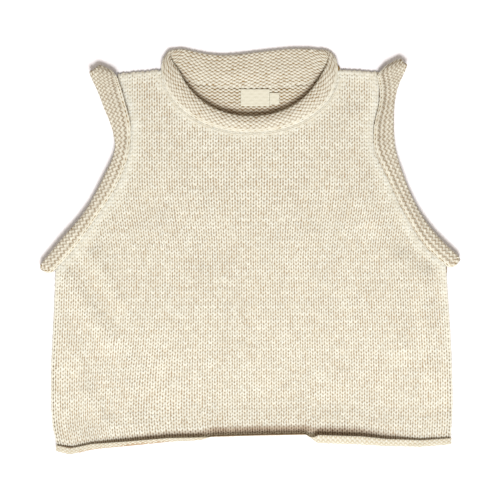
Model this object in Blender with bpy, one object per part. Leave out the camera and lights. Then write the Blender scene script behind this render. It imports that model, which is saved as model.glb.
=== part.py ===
"""Sleeveless hand-knitted sweater laid flat, seen from above with the neck away and the hem near: a front and a
back panel lying on each other, a rolled neckband, two rolled armhole bands, a woven neck label and a size tab.

Tables are in millimetres and the meshes in metres, +Z up. +X runs to the right of the sweater as it is seen, +Y
from the hem to the neck, and the origin is the middle of its footprint, on the surface it lies on."""

import bpy
import numpy as np

MM = 0.001

# Cloth and seams
WALL = 3.0  # thickness of the knitted cloth
SEAM_GAP = 0.3  # between two pieces at a seam, and between two layers that lie on each other
HALF_LAYER = (WALL + SEAM_GAP) / 2  # from the plane between front and back to the middle of either wall
PLANE = WALL + SEAM_GAP / 2  # height of the plane between front and back where both lie flat

# Body: side edge of each half from the hem to the underarm (x, y)
LEFT_SIDE = ((-247.5, -247), (-252.5, -226), (-255.5, -170), (-253.5, -111), (-251.5, -70), (-249.6, -24.7))
RIGHT_SIDE = ((257.5, -240), (260.0, -204), (259.6, -150), (258.0, -115), (255.8, -80), (251.5, -19.6))

# Armhole from the underarm to the shoulder (seam x, seam y, rolled edge x, rolled edge y)
LEFT_ARMHOLE = (
    (-249.6, -24.7, -265.6, -17.0),
    (-224.8, 2.2, -240.6, 13.3),
    (-197.4, 41.2, -209.9, 49.5),
    (-171.9, 80.3, -188.2, 88.8),
    (-154.2, 127.6, -171.3, 131.1),
    (-153.2, 164.7, -177.3, 162.2),
    (-162.0, 196.1, -189.4, 191.6),
    (-169.6, 225.5, -201.0, 227.5),
)
RIGHT_ARMHOLE = (
    (251.5, -19.6, 264.2, -6.5),
    (225.0, 4.1, 239.4, 17.2),
    (199.7, 43.1, 214.4, 51.2),
    (174.1, 95.6, 192.1, 103.7),
    (158.1, 134.0, 183.7, 136.6),
    (159.4, 162.0, 182.6, 165.0),
    (166.4, 198.0, 186.0, 201.9),
    (163.0, 225.0, 197.8, 236.7),
)

# Neck: a rounded scoop is half_width to each side of NECK_X and drops by depth below top
NECK_X = 1.3
NECK_ROUND = (2.2, 1.75)  # powers of the scoop across and down: 2 and 2 would be half an ellipse
FRONT_SEAM = dict(half_width=112.0, top=231.5, depth=78.5)
FRONT_ROLL = dict(half_width=97.0, top=252.0, depth=81.0)
BACK_SEAM = dict(half_width=112.0, top=231.5, depth=23.5)
# Rolled top edge of the back neckband, from the left corner to the right one (x, y)
BACK_ROLL = (
    (-95.6, 253.4),
    (-87, 256.6),
    (-72, 254.0),
    (-58, 251.0),
    (-31, 249.0),
    (-8, 251.0),
    (15, 253.5),
    (38, 256.0),
    (61, 257.6),
    (77, 257.4),
    (90, 255.5),
    (98.2, 252.4),
)

# Rolled edges of the bands
ROLL_RADIUS = 2.3  # of the turn at a band's edge, at the middle of its wall
ROLL_CROWN = 1.6  # how far the front roll swells above its turn
NECK_LAP = -0.14  # where a rolled-over edge ends on the front, from 0 at the seam to 1 at the roll
ARMHOLE_LAP = -0.04
BACK_LAP = 0.55
RISE_SHARE = 0.42  # share of a band's width in which it climbs onto its own roll
ROLL_TURN = (0, 60, 120, 180)  # degrees turned at the points of a roll's section
CROWN_LENGTH = 3.4  # the crown is half a sine this many points long, of the three that run back
LAP_TURN = 1.6  # the lap has changed from the front's to the back's when facing is 180 divided by this

# Hem of the front, turned up: (x, y of the edge, half width and height of the turn, degrees turned)
HEM = (
    (-250, -254.5, 6.5, 7.5, 190),
    (-231, -258.9, 7.0, 7.5, 190),
    (-200, -252.3, 6.5, 8.0, 180),
    (-150, -246.8, 5.5, 9.0, 150),
    (-100, -240.3, 5.0, 9.0, 120),
    (-60, -235.3, 4.5, 9.0, 95),
    (15, -234.0, 4.5, 9.0, 90),
    (72, -233.0, 4.5, 9.0, 92),
    (86, -244.0, 10.0, 9.5, 165),
    (142, -245.9, 10.0, 9.5, 165),
    (175, -248.0, 9.0, 8.5, 175),
    (220, -249.0, 7.5, 7.5, 190),
    (258, -246.0, 7.0, 7.5, 190),
)
BACK_HEM_INSET = 3.0  # the back hem, turned under, ends this far inside the front one
BACK_HEM_RETURN = 14.0  # how far its turned edge runs back
BACK_HEM_TURN = (180, 120, 60)  # degrees turned at the points of its section
HEM_LIFT_RUN = 45.0  # both panels climb onto the turned back hem over this distance

# Soft folds of the front (x and y of both ends, half width, height)
FOLDS = (
    (192, -14, 196, -118, 15, 5.0),
    (228, -30, 236, -150, 14, 4.5),
    (-236, -34, -178, -112, 15, 4.5),
    (-196, -6, -168, -60, 12, 3.5),
    (-206, -180, -180, -222, 11, 3.0),
    (140, 170, 150, 40, 16, 3.0),
)

# Neck label and size tab (low and high x, low and high y)
LABEL = (-11.9, 25.0, 184.7, 206.6)
SIZE_TAB = (25.3, 37.4, 187.1, 201.9)
LABEL_WALL = 1.0

NECK_COLUMNS = (-116.0, 121.0)  # where the lines that come down from the neck's corners meet the hem
NECK_REACH = 0.3  # share of a panel's height below which its rows don't follow the neck
HEM_REACH = 0.3  # share of a panel's height above which its sides don't follow the hem
UNDERARM = 0.55  # share of a panel's height at which the armholes start
SEAM_COLUMNS = 1.5  # the folds fade out over this many columns and rows along a panel's seams

# How finely the surfaces are cut
SIDE_STEPS = 9
ARMHOLE_STEPS = 14
SHOULDER_STEPS = 6
NECK_STEPS = 18
HEM_STEPS = 5
FOLD_STEPS = 4

YARN = (0.75, 0.66, 0.47)
LABEL_CLOTH = (0.78, 0.74, 0.62)


def clear_scene():
    for item in list(bpy.data.objects):
        bpy.data.objects.remove(item, do_unlink=True)


def material(name, colour, roughness):
    made = bpy.data.materials.new(name)
    made.use_nodes = True
    shader = made.node_tree.nodes["Principled BSDF"]
    shader.inputs["Base Color"].default_value = (*colour, 1.0)
    shader.inputs["Roughness"].default_value = roughness
    shader.inputs["Metallic"].default_value = 0.0
    return made


def add_object(name, points, faces, finish):
    mesh = bpy.data.meshes.new(name)
    mesh.from_pydata((points * MM).tolist(), [], faces)
    mesh.materials.append(finish)
    mesh.shade_smooth()
    mesh.set_sharp_from_angle(angle=np.radians(40))
    made = bpy.data.objects.new(name, mesh)
    bpy.context.scene.collection.objects.link(made)
    return made


def ease(t):
    """0 to 1 with level ends: 3t² - 2t³, t held between 0 and 1."""
    t = np.clip(t, 0, 1)
    return t * t * (3 - 2 * t)


def smooth(rows, steps):
    """The rows read as one smooth curve, at steps + 1 places evenly spaced along the first two columns: a cubic
    from each row to the next whose slope at a row is that of the parabola through it and its neighbours."""
    rows = np.array(rows, float)
    along = np.concatenate(([0], np.cumsum(np.hypot(*np.diff(rows[:, :2], axis=0).T))))
    slope = np.gradient(rows, along, axis=0)
    places = np.linspace(0, along[-1], steps + 1)
    k = np.clip(np.searchsorted(along, places) - 1, 0, len(along) - 2)
    span = (along[k + 1] - along[k])[:, None]
    t = (places - along[k])[:, None] / span
    start = (1 + 2 * t) * (1 - t) ** 2 * rows[k] + t * (1 - t) ** 2 * span * slope[k]
    end = t**2 * (3 - 2 * t) * rows[k + 1] + t**2 * (t - 1) * span * slope[k + 1]
    return start + end


def scoop(half_width, top, depth):
    """Neck curve from left to right: x runs as the cosine and y as the sine of half a turn, to its power."""
    angle = np.linspace(0, np.pi, NECK_STEPS + 1)
    cosine, sine = np.cos(angle), np.clip(np.sin(angle), 0, 1)
    across = np.sign(cosine) * np.abs(cosine) ** (2 / NECK_ROUND[0])
    return np.stack([NECK_X - half_width * across, top - depth * sine ** (2 / NECK_ROUND[1])], axis=1)


def side_of_curve(points):
    """Unit vectors in the plan, square to a curve and to the left of its direction."""
    run = np.gradient(points, axis=0)
    square = np.stack([-run[:, 1], run[:, 0]], axis=1)
    return square / np.linalg.norm(square, axis=1)[:, None]


def hem_lift(y, edge):
    """Height that the turned-under back hem gives to what lies on it, easing in over HEM_LIFT_RUN."""
    return 2 * ROLL_RADIUS * ease(1 - (y - edge) / HEM_LIFT_RUN)


def folds(x, y):
    """Height of the soft folds: each is a ridge along a line, a bell curve across it that fades at its ends."""
    height = np.zeros_like(x)
    for x0, y0, x1, y1, width, rise in FOLDS:
        length = np.hypot(x1 - x0, y1 - y0)
        along = ((x - x0) * (x1 - x0) + (y - y0) * (y1 - y0)) / length
        across = ((x - x0) * (y1 - y0) - (y - y0) * (x1 - x0)) / length
        beyond = np.maximum(0, np.abs(along - length / 2) - length / 2)
        height += rise * np.exp(-((across / width) ** 2) - (beyond / width) ** 2)
    return height


def side_edges():
    """Left and right boundary of a panel from the hem to the shoulder, the same points on front and back."""
    edges = []
    for side, armhole in ((LEFT_SIDE, LEFT_ARMHOLE), (RIGHT_SIDE, RIGHT_ARMHOLE)):
        lower = smooth(side, SIDE_STEPS)[:-1]
        edges.append(np.concatenate([lower, smooth(armhole, ARMHOLE_STEPS)[:, :2]]))
    return edges


def panel_plan(neck):
    """Plan of a panel as a grid [row, column] from the hem to the shoulders, with the seam points on its edges.
    Between the neck's corners a column runs from its place on the hem to its place on the neck; beyond them the
    columns share the room up to the side edge evenly. A row's y is a straight line between the side edges, plus
    what the hem and the neck add, each fading out towards the other."""
    left, right = side_edges()
    corner = np.array([0, SHOULDER_STEPS, SHOULDER_STEPS + NECK_STEPS, 2 * SHOULDER_STEPS + NECK_STEPS])
    column = np.arange(corner[-1] + 1)
    hem_x = np.interp(column, corner, (left[0, 0], *NECK_COLUMNS, right[0, 0]))
    hem_y = hem_values(hem_x, 1) + hem_values(hem_x, 2)
    v = np.linspace(0, UNDERARM, SIDE_STEPS + 1)
    v = np.concatenate([v[:-1], np.linspace(UNDERARM, 1, ARMHOLE_STEPS + 1)])
    for edge, end in ((left, hem_y[0]), (right, hem_y[-1])):
        edge[:, 1] += (end - edge[0, 1]) * np.clip(1 - v / HEM_REACH, 0, 1)
    inner = slice(corner[1], corner[2] + 1)
    upper = ease((v - NECK_REACH) / (1 - NECK_REACH))[:, None]
    x = np.empty((len(v), len(column)))
    x[:, inner] = hem_x[inner] + (neck[:, 0] - hem_x[inner]) * upper
    share = np.linspace(0, 1, SHOULDER_STEPS + 1)
    x[:, : corner[1]] = (left[:, :1] + (x[:, corner[1], None] - left[:, :1]) * share)[:, :-1]
    x[:, corner[2] + 1 :] = (right[:, :1] + (x[:, corner[2], None] - right[:, :1]) * share)[:, -2::-1]
    across = (x - x[:, :1]) / (x[:, -1:] - x[:, :1])
    sides = left[:, 1:] + (right[:, 1:] - left[:, 1:]) * across
    top_y = np.interp(column, corner[[0, 1]], (left[-1, 1], neck[0, 1]))
    top_y[inner] = neck[:, 1]
    top_y[corner[2] :] = np.interp(column, corner[[2, 3]], (neck[-1, 1], right[-1, 1]))[corner[2] :]
    lower = (1 - v)[:, None] * (1 - upper)
    y = sides + lower * (hem_y - sides[0]) + upper * (top_y - sides[-1])
    return np.dstack([x, y])


def walls(middle, square, wall):
    """Both faces of a wall, half its thickness to each side of the middle surface along its normals."""
    return middle + square * wall / 2, middle - square * wall / 2


def grid_faces(rows, columns, first, flip):
    """Quads of a grid of points numbered row by row from `first`."""
    made = []
    for r in range(rows - 1):
        for c in range(columns - 1):
            a = first + r * columns + c
            quad = (a, a + 1, a + columns + 1, a + columns)
            made.append(quad[::-1] if flip else quad)
    return made


def closed_sheet(upper, lower):
    """Points and faces of a sheet between two grids of the same size, closed round its rim. The upper grid's
    rows run along +Y and its columns along +X, so that its faces point up."""
    rows, columns = upper.shape[:2]
    points = np.concatenate([upper.reshape(-1, 3), lower.reshape(-1, 3)])
    count = rows * columns
    faces = grid_faces(rows, columns, 0, False) + grid_faces(rows, columns, count, True)
    index = np.arange(count).reshape(rows, columns)
    rim = np.concatenate([index[0], index[1:, -1], index[-1, -2::-1], index[-2:0:-1, 0]]).tolist()
    for a, b in zip(rim, rim[1:] + rim[:1]):
        faces.append((a, a + count, b + count, b))
    return points, faces


def surface_normals(grid):
    """Unit normals of a grid of points, from the directions of its rows and columns."""
    along_rows, along_columns = np.gradient(grid, axis=0), np.gradient(grid, axis=1)
    square = np.cross(along_columns, along_rows)
    return square / np.linalg.norm(square, axis=2)[..., None]


def hem_values(x, column):
    return np.interp(x, [row[0] for row in HEM], [row[column] for row in HEM])


def front_panel(finish):
    """The front: flat on the back, raised by its folds and by the back hem, its own hem turned up. The turn is
    part of an ellipse: outwards by the sine and upwards by one less the cosine of the angle turned."""
    plan = panel_plan(scoop(**FRONT_SEAM))
    x, y = plan[..., 0], plan[..., 1]
    height = PLANE + HALF_LAYER + folds(x, y) * edge_fade(x.shape) + hem_lift(y, plan[0, :, 1])
    body = np.dstack([x, y, height])
    hem_x = plan[0, :, 0]
    half_width, tall, turn = (hem_values(hem_x, k) for k in (2, 3, 4))
    angle = np.radians(turn) * np.linspace(1, 0, HEM_STEPS + 1)[:-1, None]
    out = half_width * np.sin(angle)
    up = tall * (1 - np.cos(angle)) / (1 - np.cos(np.radians(turn)))
    hem = np.dstack([np.broadcast_to(hem_x, out.shape), plan[0, :, 1] - out, height[0] + up])
    return panel("front_panel", np.concatenate([hem, body]), finish)


def back_panel(finish):
    """The back: flat on the surface below, its hem turned under in half a round turn and a short return."""
    plan = panel_plan(scoop(**BACK_SEAM))
    x, y = plan[..., 0], plan[..., 1]
    height = PLANE - HALF_LAYER + hem_lift(y, plan[0, :, 1])
    body = np.dstack([x, y, height])
    hem_x = plan[0, :, 0]
    reach = hem_values(hem_x, 2) - BACK_HEM_INSET + WALL / 2
    angle = np.radians(BACK_HEM_TURN)[:, None]
    out = reach - ROLL_RADIUS + ROLL_RADIUS * np.sin(angle)
    down = ROLL_RADIUS * (1 - np.cos(angle)) * np.ones_like(out)
    edge = [out[:1] - BACK_HEM_RETURN, out[:1] - BACK_HEM_RETURN / 2]
    out = np.concatenate([*edge, out, (reach - ROLL_RADIUS)[None]])
    down = np.concatenate([down[:1], down[:1], down, np.zeros_like(down[:1])])
    hem = np.dstack([np.broadcast_to(hem_x, out.shape), plan[0, :, 1] - out, height[0] - down])
    return panel("back_panel", np.concatenate([hem, body]), finish)


def edge_fade(shape):
    """1 inside a panel and 0 along its sides and its top, where its seams lie level."""
    rows, columns = shape
    across = np.minimum(np.arange(columns), np.arange(columns)[::-1]) / SEAM_COLUMNS
    down = np.arange(rows)[::-1] / SEAM_COLUMNS
    return ease(across)[None, :] * ease(down)[:, None]


def panel(name, middle, finish):
    square = surface_normals(middle)
    for line in (square[-1], square[HEM_STEPS:, 0], square[HEM_STEPS:, -1]):
        line[:] = (0, 0, 1)
    upper, lower = walls(middle, square, WALL)
    return add_object(name, *closed_sheet(upper, lower), finish)


def roll_section(width, lap, crown):
    """Middle line of a band's wall from its seam to the roll and back over itself: distance from the seam,
    height along the outward direction, and how much of the way up its own roll it stands."""
    turn = np.radians(ROLL_TURN)
    climb = np.array([0, 0.5, 1])
    rolled = width - ROLL_RADIUS * (1 - np.sin(turn))
    back = np.linspace(width - ROLL_RADIUS, lap * width, 4)[1:]
    over = 2 * ROLL_RADIUS + crown * np.sin(np.pi * np.arange(1, len(back) + 1) / CROWN_LENGTH)
    out = np.concatenate([RISE_SHARE * width * climb, rolled, back])
    rise = np.concatenate([np.zeros_like(climb), ROLL_RADIUS * (1 - np.cos(turn)), over])
    climbed = np.concatenate([climb, np.ones(len(rolled) + len(back))])
    return out, rise, climbed


def rolled_band(name, stations, front_lap, finish):
    """A ring of cloth. Each station is (seam x, seam y, edge x, edge y, facing, crown), where facing is 0 on
    the front, 180 on the back and between them where the flattened ring folds over. A point of the wall is the
    seam point, plus its distance out towards the edge, plus its height along the outward direction, which is
    up times cos(facing) plus the plan direction square to the band times sin(facing)."""
    seam, edge, facing, crown = stations[:, :2], stations[:, 2:4], np.radians(stations[:, 4]), stations[:, 5]
    run = edge - seam
    width = np.linalg.norm(run, axis=1)
    run = run / width[:, None]
    square = np.stack([-run[:, 1], run[:, 0]], axis=1)
    ring_middle = (seam.mean(axis=0) + edge.mean(axis=0)) / 2
    inwards = (((seam + edge) / 2 - ring_middle) * square).sum(axis=1) < 0
    square = np.where(inwards[:, None], -square, square)
    lap = front_lap + (BACK_LAP - front_lap) * ease(facing / np.pi * LAP_TURN)
    outward = np.column_stack([square * np.sin(facing)[:, None], np.cos(facing)])
    ring = []
    for k in range(len(stations)):
        out, rise, climbed = roll_section(width[k], lap[k], crown[k])
        line = np.stack([out, rise], axis=1)
        tangent = np.gradient(line, axis=0)
        normal = np.stack([-tangent[:, 1], tangent[:, 0]], axis=1)
        normal = normal / np.linalg.norm(normal, axis=1)[:, None]
        normal[0] = (0, 1)
        both = np.concatenate([line + normal * WALL / 2, (line - normal * WALL / 2)[::-1]])
        climbed = np.concatenate([climbed, climbed[::-1]])
        plan = seam[k] + both[:, :1] * run[k]
        level = PLANE + 2 * ROLL_RADIUS * ease(climbed)
        points = np.column_stack([plan, level]) + (HALF_LAYER + both[:, 1:]) * outward[k]
        ring.append(points)
    return add_object(name, *closed_ring(np.array(ring)), finish)


def closed_ring(ring):
    """Points and faces of a ring of closed sections [station, point]."""
    stations, count = ring.shape[:2]
    faces = []
    for s in range(stations):
        after = (s + 1) % stations
        for p in range(count):
            q = (p + 1) % count
            faces.append((s * count + p, s * count + q, after * count + q, after * count + p))
    points = ring.reshape(-1, 3)
    return points, faces if enclosed_volume(points, faces) > 0 else [face[::-1] for face in faces]


def enclosed_volume(points, faces):
    """Volume inside a closed mesh of quads, less than 0 where its faces point inwards."""
    a, b, c, d = points[np.array(faces)].transpose(1, 0, 2)
    return (np.cross(a, b) * c + np.cross(a, c) * d).sum() / 6


def fold_over(start, end, facing):
    """Stations that turn a band over from one face to the other: places between two (seam x, seam y, edge x,
    edge y), and angles between the two of facing."""
    steps = np.linspace(0, 1, FOLD_STEPS + 1)
    places = np.array(start) + (np.array(end) - np.array(start)) * ease(steps)[:, None]
    angles = facing[0] + (facing[1] - facing[0]) * steps
    crown = ROLL_CROWN * np.clip(np.cos(np.radians(angles)), 0, 1)
    return np.column_stack([places, angles, crown])


def facing_stations(places, angle, crown):
    return np.column_stack([places, np.full(len(places), angle), np.full(len(places), crown)])


def armhole_band(name, armhole, finish):
    """Front half up from the underarm, folded over at the shoulder, and the back half down under it."""
    plan = smooth(armhole, ARMHOLE_STEPS)
    outward = side_of_curve(plan[:, :2]) * (1 if armhole is LEFT_ARMHOLE else -1)
    plan[:, :2] += outward * SEAM_GAP
    stations = [
        facing_stations(plan[1:-1], 0, ROLL_CROWN),
        fold_over(plan[-1], plan[-1], (0, 180)),
        facing_stations(plan[-2:0:-1], 180, 0),
        fold_over(plan[0], plan[0], (180, 0)),
    ]
    return rolled_band(name, np.concatenate(stations), ARMHOLE_LAP, finish)


def neckband(finish):
    """Front half from the left corner to the right one, and the taller back half from right to left."""
    front_seam, back_seam = scoop(**FRONT_SEAM), scoop(**BACK_SEAM)
    front_seam += side_of_curve(front_seam) * SEAM_GAP
    back_seam += side_of_curve(back_seam) * SEAM_GAP
    front = np.concatenate([front_seam, scoop(**FRONT_ROLL)], axis=1)
    back = np.concatenate([back_seam, smooth(BACK_ROLL, NECK_STEPS)], axis=1)
    for end in (0, -1):
        front[end, :2] = back[end, :2] = (front[end, :2] + back[end, :2]) / 2
    stations = [
        facing_stations(front[1:-1], 0, ROLL_CROWN),
        fold_over(front[-1], back[-1], (0, 180)),
        facing_stations(back[-2:0:-1], 180, 0),
        fold_over(back[0], front[0], (180, 0)),
    ]
    return rolled_band("neckband", np.concatenate(stations), NECK_LAP, finish)


def flat_label(name, box, finish):
    """A thin flat piece lying on the inner face of the back."""
    low_x, high_x, low_y, high_y = box
    x, y = np.meshgrid(np.linspace(low_x, high_x, 3), np.linspace(low_y, high_y, 3))
    middle = np.dstack([x, y, np.full_like(x, WALL + SEAM_GAP + LABEL_WALL / 2)])
    upper, lower = walls(middle, np.array([0.0, 0.0, 1.0]), LABEL_WALL)
    return add_object(name, *closed_sheet(upper, lower), finish)


def main():
    clear_scene()
    yarn = material("undyed_cotton_yarn", YARN, 0.9)
    label_cloth = material("woven_label_cloth", LABEL_CLOTH, 0.75)
    front_panel(yarn)
    back_panel(yarn)
    neckband(yarn)
    armhole_band("armhole_band_left", LEFT_ARMHOLE, yarn)
    armhole_band("armhole_band_right", RIGHT_ARMHOLE, yarn)
    flat_label("neck_label", LABEL, label_cloth)
    flat_label("size_tab", SIZE_TAB, label_cloth)


main()
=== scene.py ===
"""Looks of a sleeveless hand-knitted sweater that lies flat: every stitch of its cloth as yarn, its
rolled edges, a woven neck label and a size tab.

Tables and surfaces are in millimetres and the meshes in metres, +Z up. +X runs to the right of the
sweater as it is seen, +Y from the hem to the neck, and the origin is the middle of its footprint, on the
floor."""

import bpy
import numpy as np
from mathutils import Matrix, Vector


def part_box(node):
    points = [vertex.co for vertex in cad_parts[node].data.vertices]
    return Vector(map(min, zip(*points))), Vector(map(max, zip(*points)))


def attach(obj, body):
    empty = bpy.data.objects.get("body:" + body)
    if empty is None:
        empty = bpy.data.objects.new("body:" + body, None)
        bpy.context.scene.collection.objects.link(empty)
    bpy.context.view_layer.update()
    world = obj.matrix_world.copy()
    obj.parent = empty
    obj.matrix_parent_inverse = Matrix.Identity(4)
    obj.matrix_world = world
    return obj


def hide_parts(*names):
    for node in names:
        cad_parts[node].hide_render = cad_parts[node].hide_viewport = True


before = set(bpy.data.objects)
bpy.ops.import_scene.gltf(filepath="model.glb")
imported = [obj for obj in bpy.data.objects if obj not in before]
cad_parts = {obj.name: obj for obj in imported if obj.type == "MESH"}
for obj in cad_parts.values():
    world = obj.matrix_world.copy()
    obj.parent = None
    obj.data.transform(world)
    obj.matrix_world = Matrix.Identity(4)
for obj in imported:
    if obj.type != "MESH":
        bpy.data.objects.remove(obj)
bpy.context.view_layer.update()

MM = 0.001

# Cloth and seams, as the frame has them
WALL = 3.0
SEAM_GAP = 0.3
HALF_LAYER = (WALL + SEAM_GAP) / 2
PLANE = WALL + SEAM_GAP / 2  # height of the plane between front and back where both lie flat

# Side edge of each half from the hem to the underarm (x, y)
LEFT_SIDE = ((-247.5, -247), (-252.5, -226), (-255.5, -170), (-253.5, -111), (-251.5, -70), (-249.6, -24.7))
RIGHT_SIDE = ((257.5, -240), (260.0, -204), (259.6, -150), (258.0, -115), (255.8, -80), (251.5, -19.6))

# Armhole from the underarm to the shoulder (seam x, seam y, rolled edge x, rolled edge y)
LEFT_ARMHOLE = (
    (-249.6, -24.7, -265.6, -17.0),
    (-224.8, 2.2, -240.6, 13.3),
    (-197.4, 41.2, -209.9, 49.5),
    (-171.9, 80.3, -188.2, 88.8),
    (-154.2, 127.6, -171.3, 131.1),
    (-153.2, 164.7, -177.3, 162.2),
    (-162.0, 196.1, -189.4, 191.6),
    (-169.6, 225.5, -201.0, 227.5),
)
RIGHT_ARMHOLE = (
    (251.5, -19.6, 264.2, -6.5),
    (225.0, 4.1, 239.4, 17.2),
    (199.7, 43.1, 214.4, 51.2),
    (174.1, 95.6, 192.1, 103.7),
    (158.1, 134.0, 183.7, 136.6),
    (159.4, 162.0, 182.6, 165.0),
    (166.4, 198.0, 186.0, 201.9),
    (163.0, 225.0, 197.8, 236.7),
)

# Neck: a rounded scoop is half_width to each side of NECK_X and drops by depth below top
NECK_X = 1.3
NECK_ROUND = (2.2, 1.75)
FRONT_SEAM = dict(half_width=112.0, top=231.5, depth=78.5)
FRONT_ROLL = dict(half_width=97.0, top=252.0, depth=81.0)
BACK_SEAM = dict(half_width=112.0, top=231.5, depth=23.5)
BACK_ROLL = (
    (-95.6, 253.4),
    (-87, 256.6),
    (-72, 254.0),
    (-58, 251.0),
    (-31, 249.0),
    (-8, 251.0),
    (15, 253.5),
    (38, 256.0),
    (61, 257.6),
    (77, 257.4),
    (90, 255.5),
    (98.2, 252.4),
)

# Rolled edges of the bands
ROLL_RADIUS = 2.3
ROLL_TURN = (0, 60, 120, 180)  # degrees turned at the points of the roll
ROLL_CROWN = 1.6  # how far the part that is turned back bulges
CROWN_LENGTH = 3.4  # the bulge is half a sine wave over this many points
RISE_SHARE = 0.42  # share of a band's width over which it climbs
NECK_LAP = -0.14  # where the part that is turned back ends, as a share of the width from the seam
ARMHOLE_LAP = -0.04
BACK_LAP = 0.55
LAP_TURN = 1.6  # a lap changes to the back's this many times as fast as the ring folds over
NECK_CORNERS = ((-99.0, 250.0), (98.0, 246.0))  # the edge where the neck's ring folds over, left and right
LEFT_TOP = (-169.0, 217.5, -204.0, 226.0)  # where the armhole bands fold over at the shoulders
RIGHT_TOP = (163.5, 221.0, 199.5, 235.0)
LEFT_TIP = (0.0, 1.0, 8.0, 6.0)  # how far a fold reaches beyond its top
RIGHT_TIP = (0.0, 1.0, -4.0, 5.5)
TIP_TUCK = 1.0  # how far the edge is drawn in halfway round a fold
STANDING_OFF = 150.0  # beyond this y the turned-back part of the left band stands off from the front
ALL_SETTLED = 400.0  # a y beyond the whole sweater, for a band that lies down all along
SETTLE_RUN = 25.0  # a band goes from lying down to standing off over this distance

# Hem of the front, turned up: (x, y of the edge, half width and height of the turn, degrees turned)
HEM = (
    (-250, -254.5, 6.5, 3.6, 185),
    (-231, -258.9, 7.0, 3.8, 185),
    (-200, -252.3, 6.5, 5.0, 180),
    (-150, -247.6, 6.0, 7.6, 172),
    (-100, -242.4, 5.8, 8.2, 168),
    (-62, -240.4, 5.4, 8.8, 160),
    (-49, -235.8, 4.5, 9.0, 95),
    (15, -234.0, 4.5, 9.0, 90),
    (72, -233.0, 4.5, 9.0, 92),
    (86, -244.0, 10.6, 9.5, 178),
    (142, -245.9, 10.8, 9.0, 178),
    (175, -248.0, 9.0, 7.0, 180),
    (220, -249.0, 7.5, 4.4, 185),
    (258, -246.0, 7.0, 3.6, 185),
)
BACK_HEM_INSET = 3.0  # the back's hem, turned under, ends this far inside the front's
BACK_HEM_RETURN = 14.0  # how far its turned edge runs back
HEM_LIFT_RUN = 45.0  # both panels climb onto the back's hem over this distance

# Soft folds of the front (x and y of both ends, half width, height)
FOLDS = (
    (192, -14, 196, -118, 15, 5.0),
    (228, -30, 236, -150, 14, 4.5),
    (-236, -34, -178, -112, 15, 4.5),
    (-196, -6, -168, -60, 12, 3.5),
    (-206, -180, -180, -222, 11, 3.0),
    (140, 170, 150, 40, 16, 3.0),
)

# Grid that the cloth under the stitches is cut on
NECK_COLUMNS = (-116.0, 121.0)  # where the lines down from the neck's corners meet the hem
NECK_REACH = 0.3  # share of a panel's height below which its lines don't follow the neck
HEM_REACH = 0.3  # and above which its sides don't follow the hem
UNDERARM = 0.55  # share of its height at the underarm
SIDE_STEPS = 9
ARMHOLE_STEPS = 14
SHOULDER_STEPS = 6
NECK_STEPS = 18
FOLD_STEPS = 10

# Stitches
COLUMNS = 82  # across the body
STITCH = 6.25  # width of a body stitch
ROW = 4.62  # height of a body stitch
BODY_ROWS = 108
SIDE_INSET = 1.5  # the middle of the wall turns over at the sides this far inside the outline
SIDE_TURN = 4.0  # width over which it turns
FOLD_FADE = 32.0  # the soft folds fade out over this distance from the seams and the sides
GROUND_INSET = 2.6  # the cloth under the stitches ends this far inside the outline
MEAN_HEM = -243.0
FOLD_UP = 6.0  # from the hem's edge up to its fold, on average
HEM_FOLLOW = 150.0  # rows follow the hem's edge up to this height

# How columns of stitches leave their even places: they fan out under the neck, and lean at the lower left
FAN = dict(reach=12.6, core=90, start=-15, run=110, edge=252, fade=60)
LEAN = dict(reach=-9, middle=-150, width=62, top=-60, run=180)
LEVEL_START = 180.0  # the rows follow the shoulders from this height
LEVEL_RUN = 45.0

# How far the cloth under the stitches reaches above and below the middle of the wall
FRONT_GROUND = (0.1, 0.4)
BACK_GROUND = (0.5, 0.5)
BAND_GROUND = (0.35, 0.9)

# Camera
CAMERA_HEIGHT = 2.2
CAMERA_LENS = 123.75
CAMERA_Y = 0.0009

random = np.random.default_rng(7)


def ease(t):
    """0 to 1 with level ends: 3t² - 2t³, t held between 0 and 1."""
    t = np.clip(t, 0, 1)
    return t * t * (3 - 2 * t)


def stretch(x, low, high, rise, fall):
    """1 along a stretch from low to high, easing to 0 at its ends over the lengths rise and fall."""
    return ease((x - low) / rise) * ease((high - x) / fall)


def cubic(t, here, there, slope, slope_there, span=1.0):
    """The cubic from one value to the next over a span with a given slope at each end, at shares t of the
    way."""
    start = (1 + 2 * t) * (1 - t) ** 2 * here + t * (1 - t) ** 2 * span * slope
    end = t**2 * (3 - 2 * t) * there + t**2 * (t - 1) * span * slope_there
    return start + end


def smooth(rows, steps):
    """The rows read as one smooth curve, at steps + 1 places evenly spaced along the first two columns: a
    cubic from each row to the next whose slope at a row is that of the parabola through it and its
    neighbours."""
    rows = np.array(rows, float)
    along = np.concatenate(([0], np.cumsum(np.hypot(*np.diff(rows[:, :2], axis=0).T))))
    slope = np.gradient(rows, along, axis=0)
    places = np.linspace(0, along[-1], steps + 1)
    k = np.clip(np.searchsorted(along, places) - 1, 0, len(along) - 2)
    span = (along[k + 1] - along[k])[:, None]
    t = (places - along[k])[:, None] / span
    return cubic(t, rows[k], rows[k + 1], slope[k], slope[k + 1], span)


def refine(grid, times, closed):
    """A grid of points with `times` places for each one along its first axis: between two points runs a
    cubic whose slope at a point is half the step from the one before it to the one after it."""
    if closed:
        before, after = np.roll(grid, 1, axis=0), np.roll(grid, -1, axis=0)
        slope = (after - before) / 2
        ends = (grid, after, slope, np.roll(slope, -1, axis=0))
    else:
        slope = np.gradient(grid, axis=0)
        ends = (grid[:-1], grid[1:], slope[:-1], slope[1:])
    t = (np.arange(times) / times).reshape(1, -1, *([1] * (grid.ndim - 1)))
    made = cubic(t, *(part[:, None] for part in ends)).reshape(-1, *grid.shape[1:])
    return made if closed else np.concatenate([made, grid[-1:]])


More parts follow.
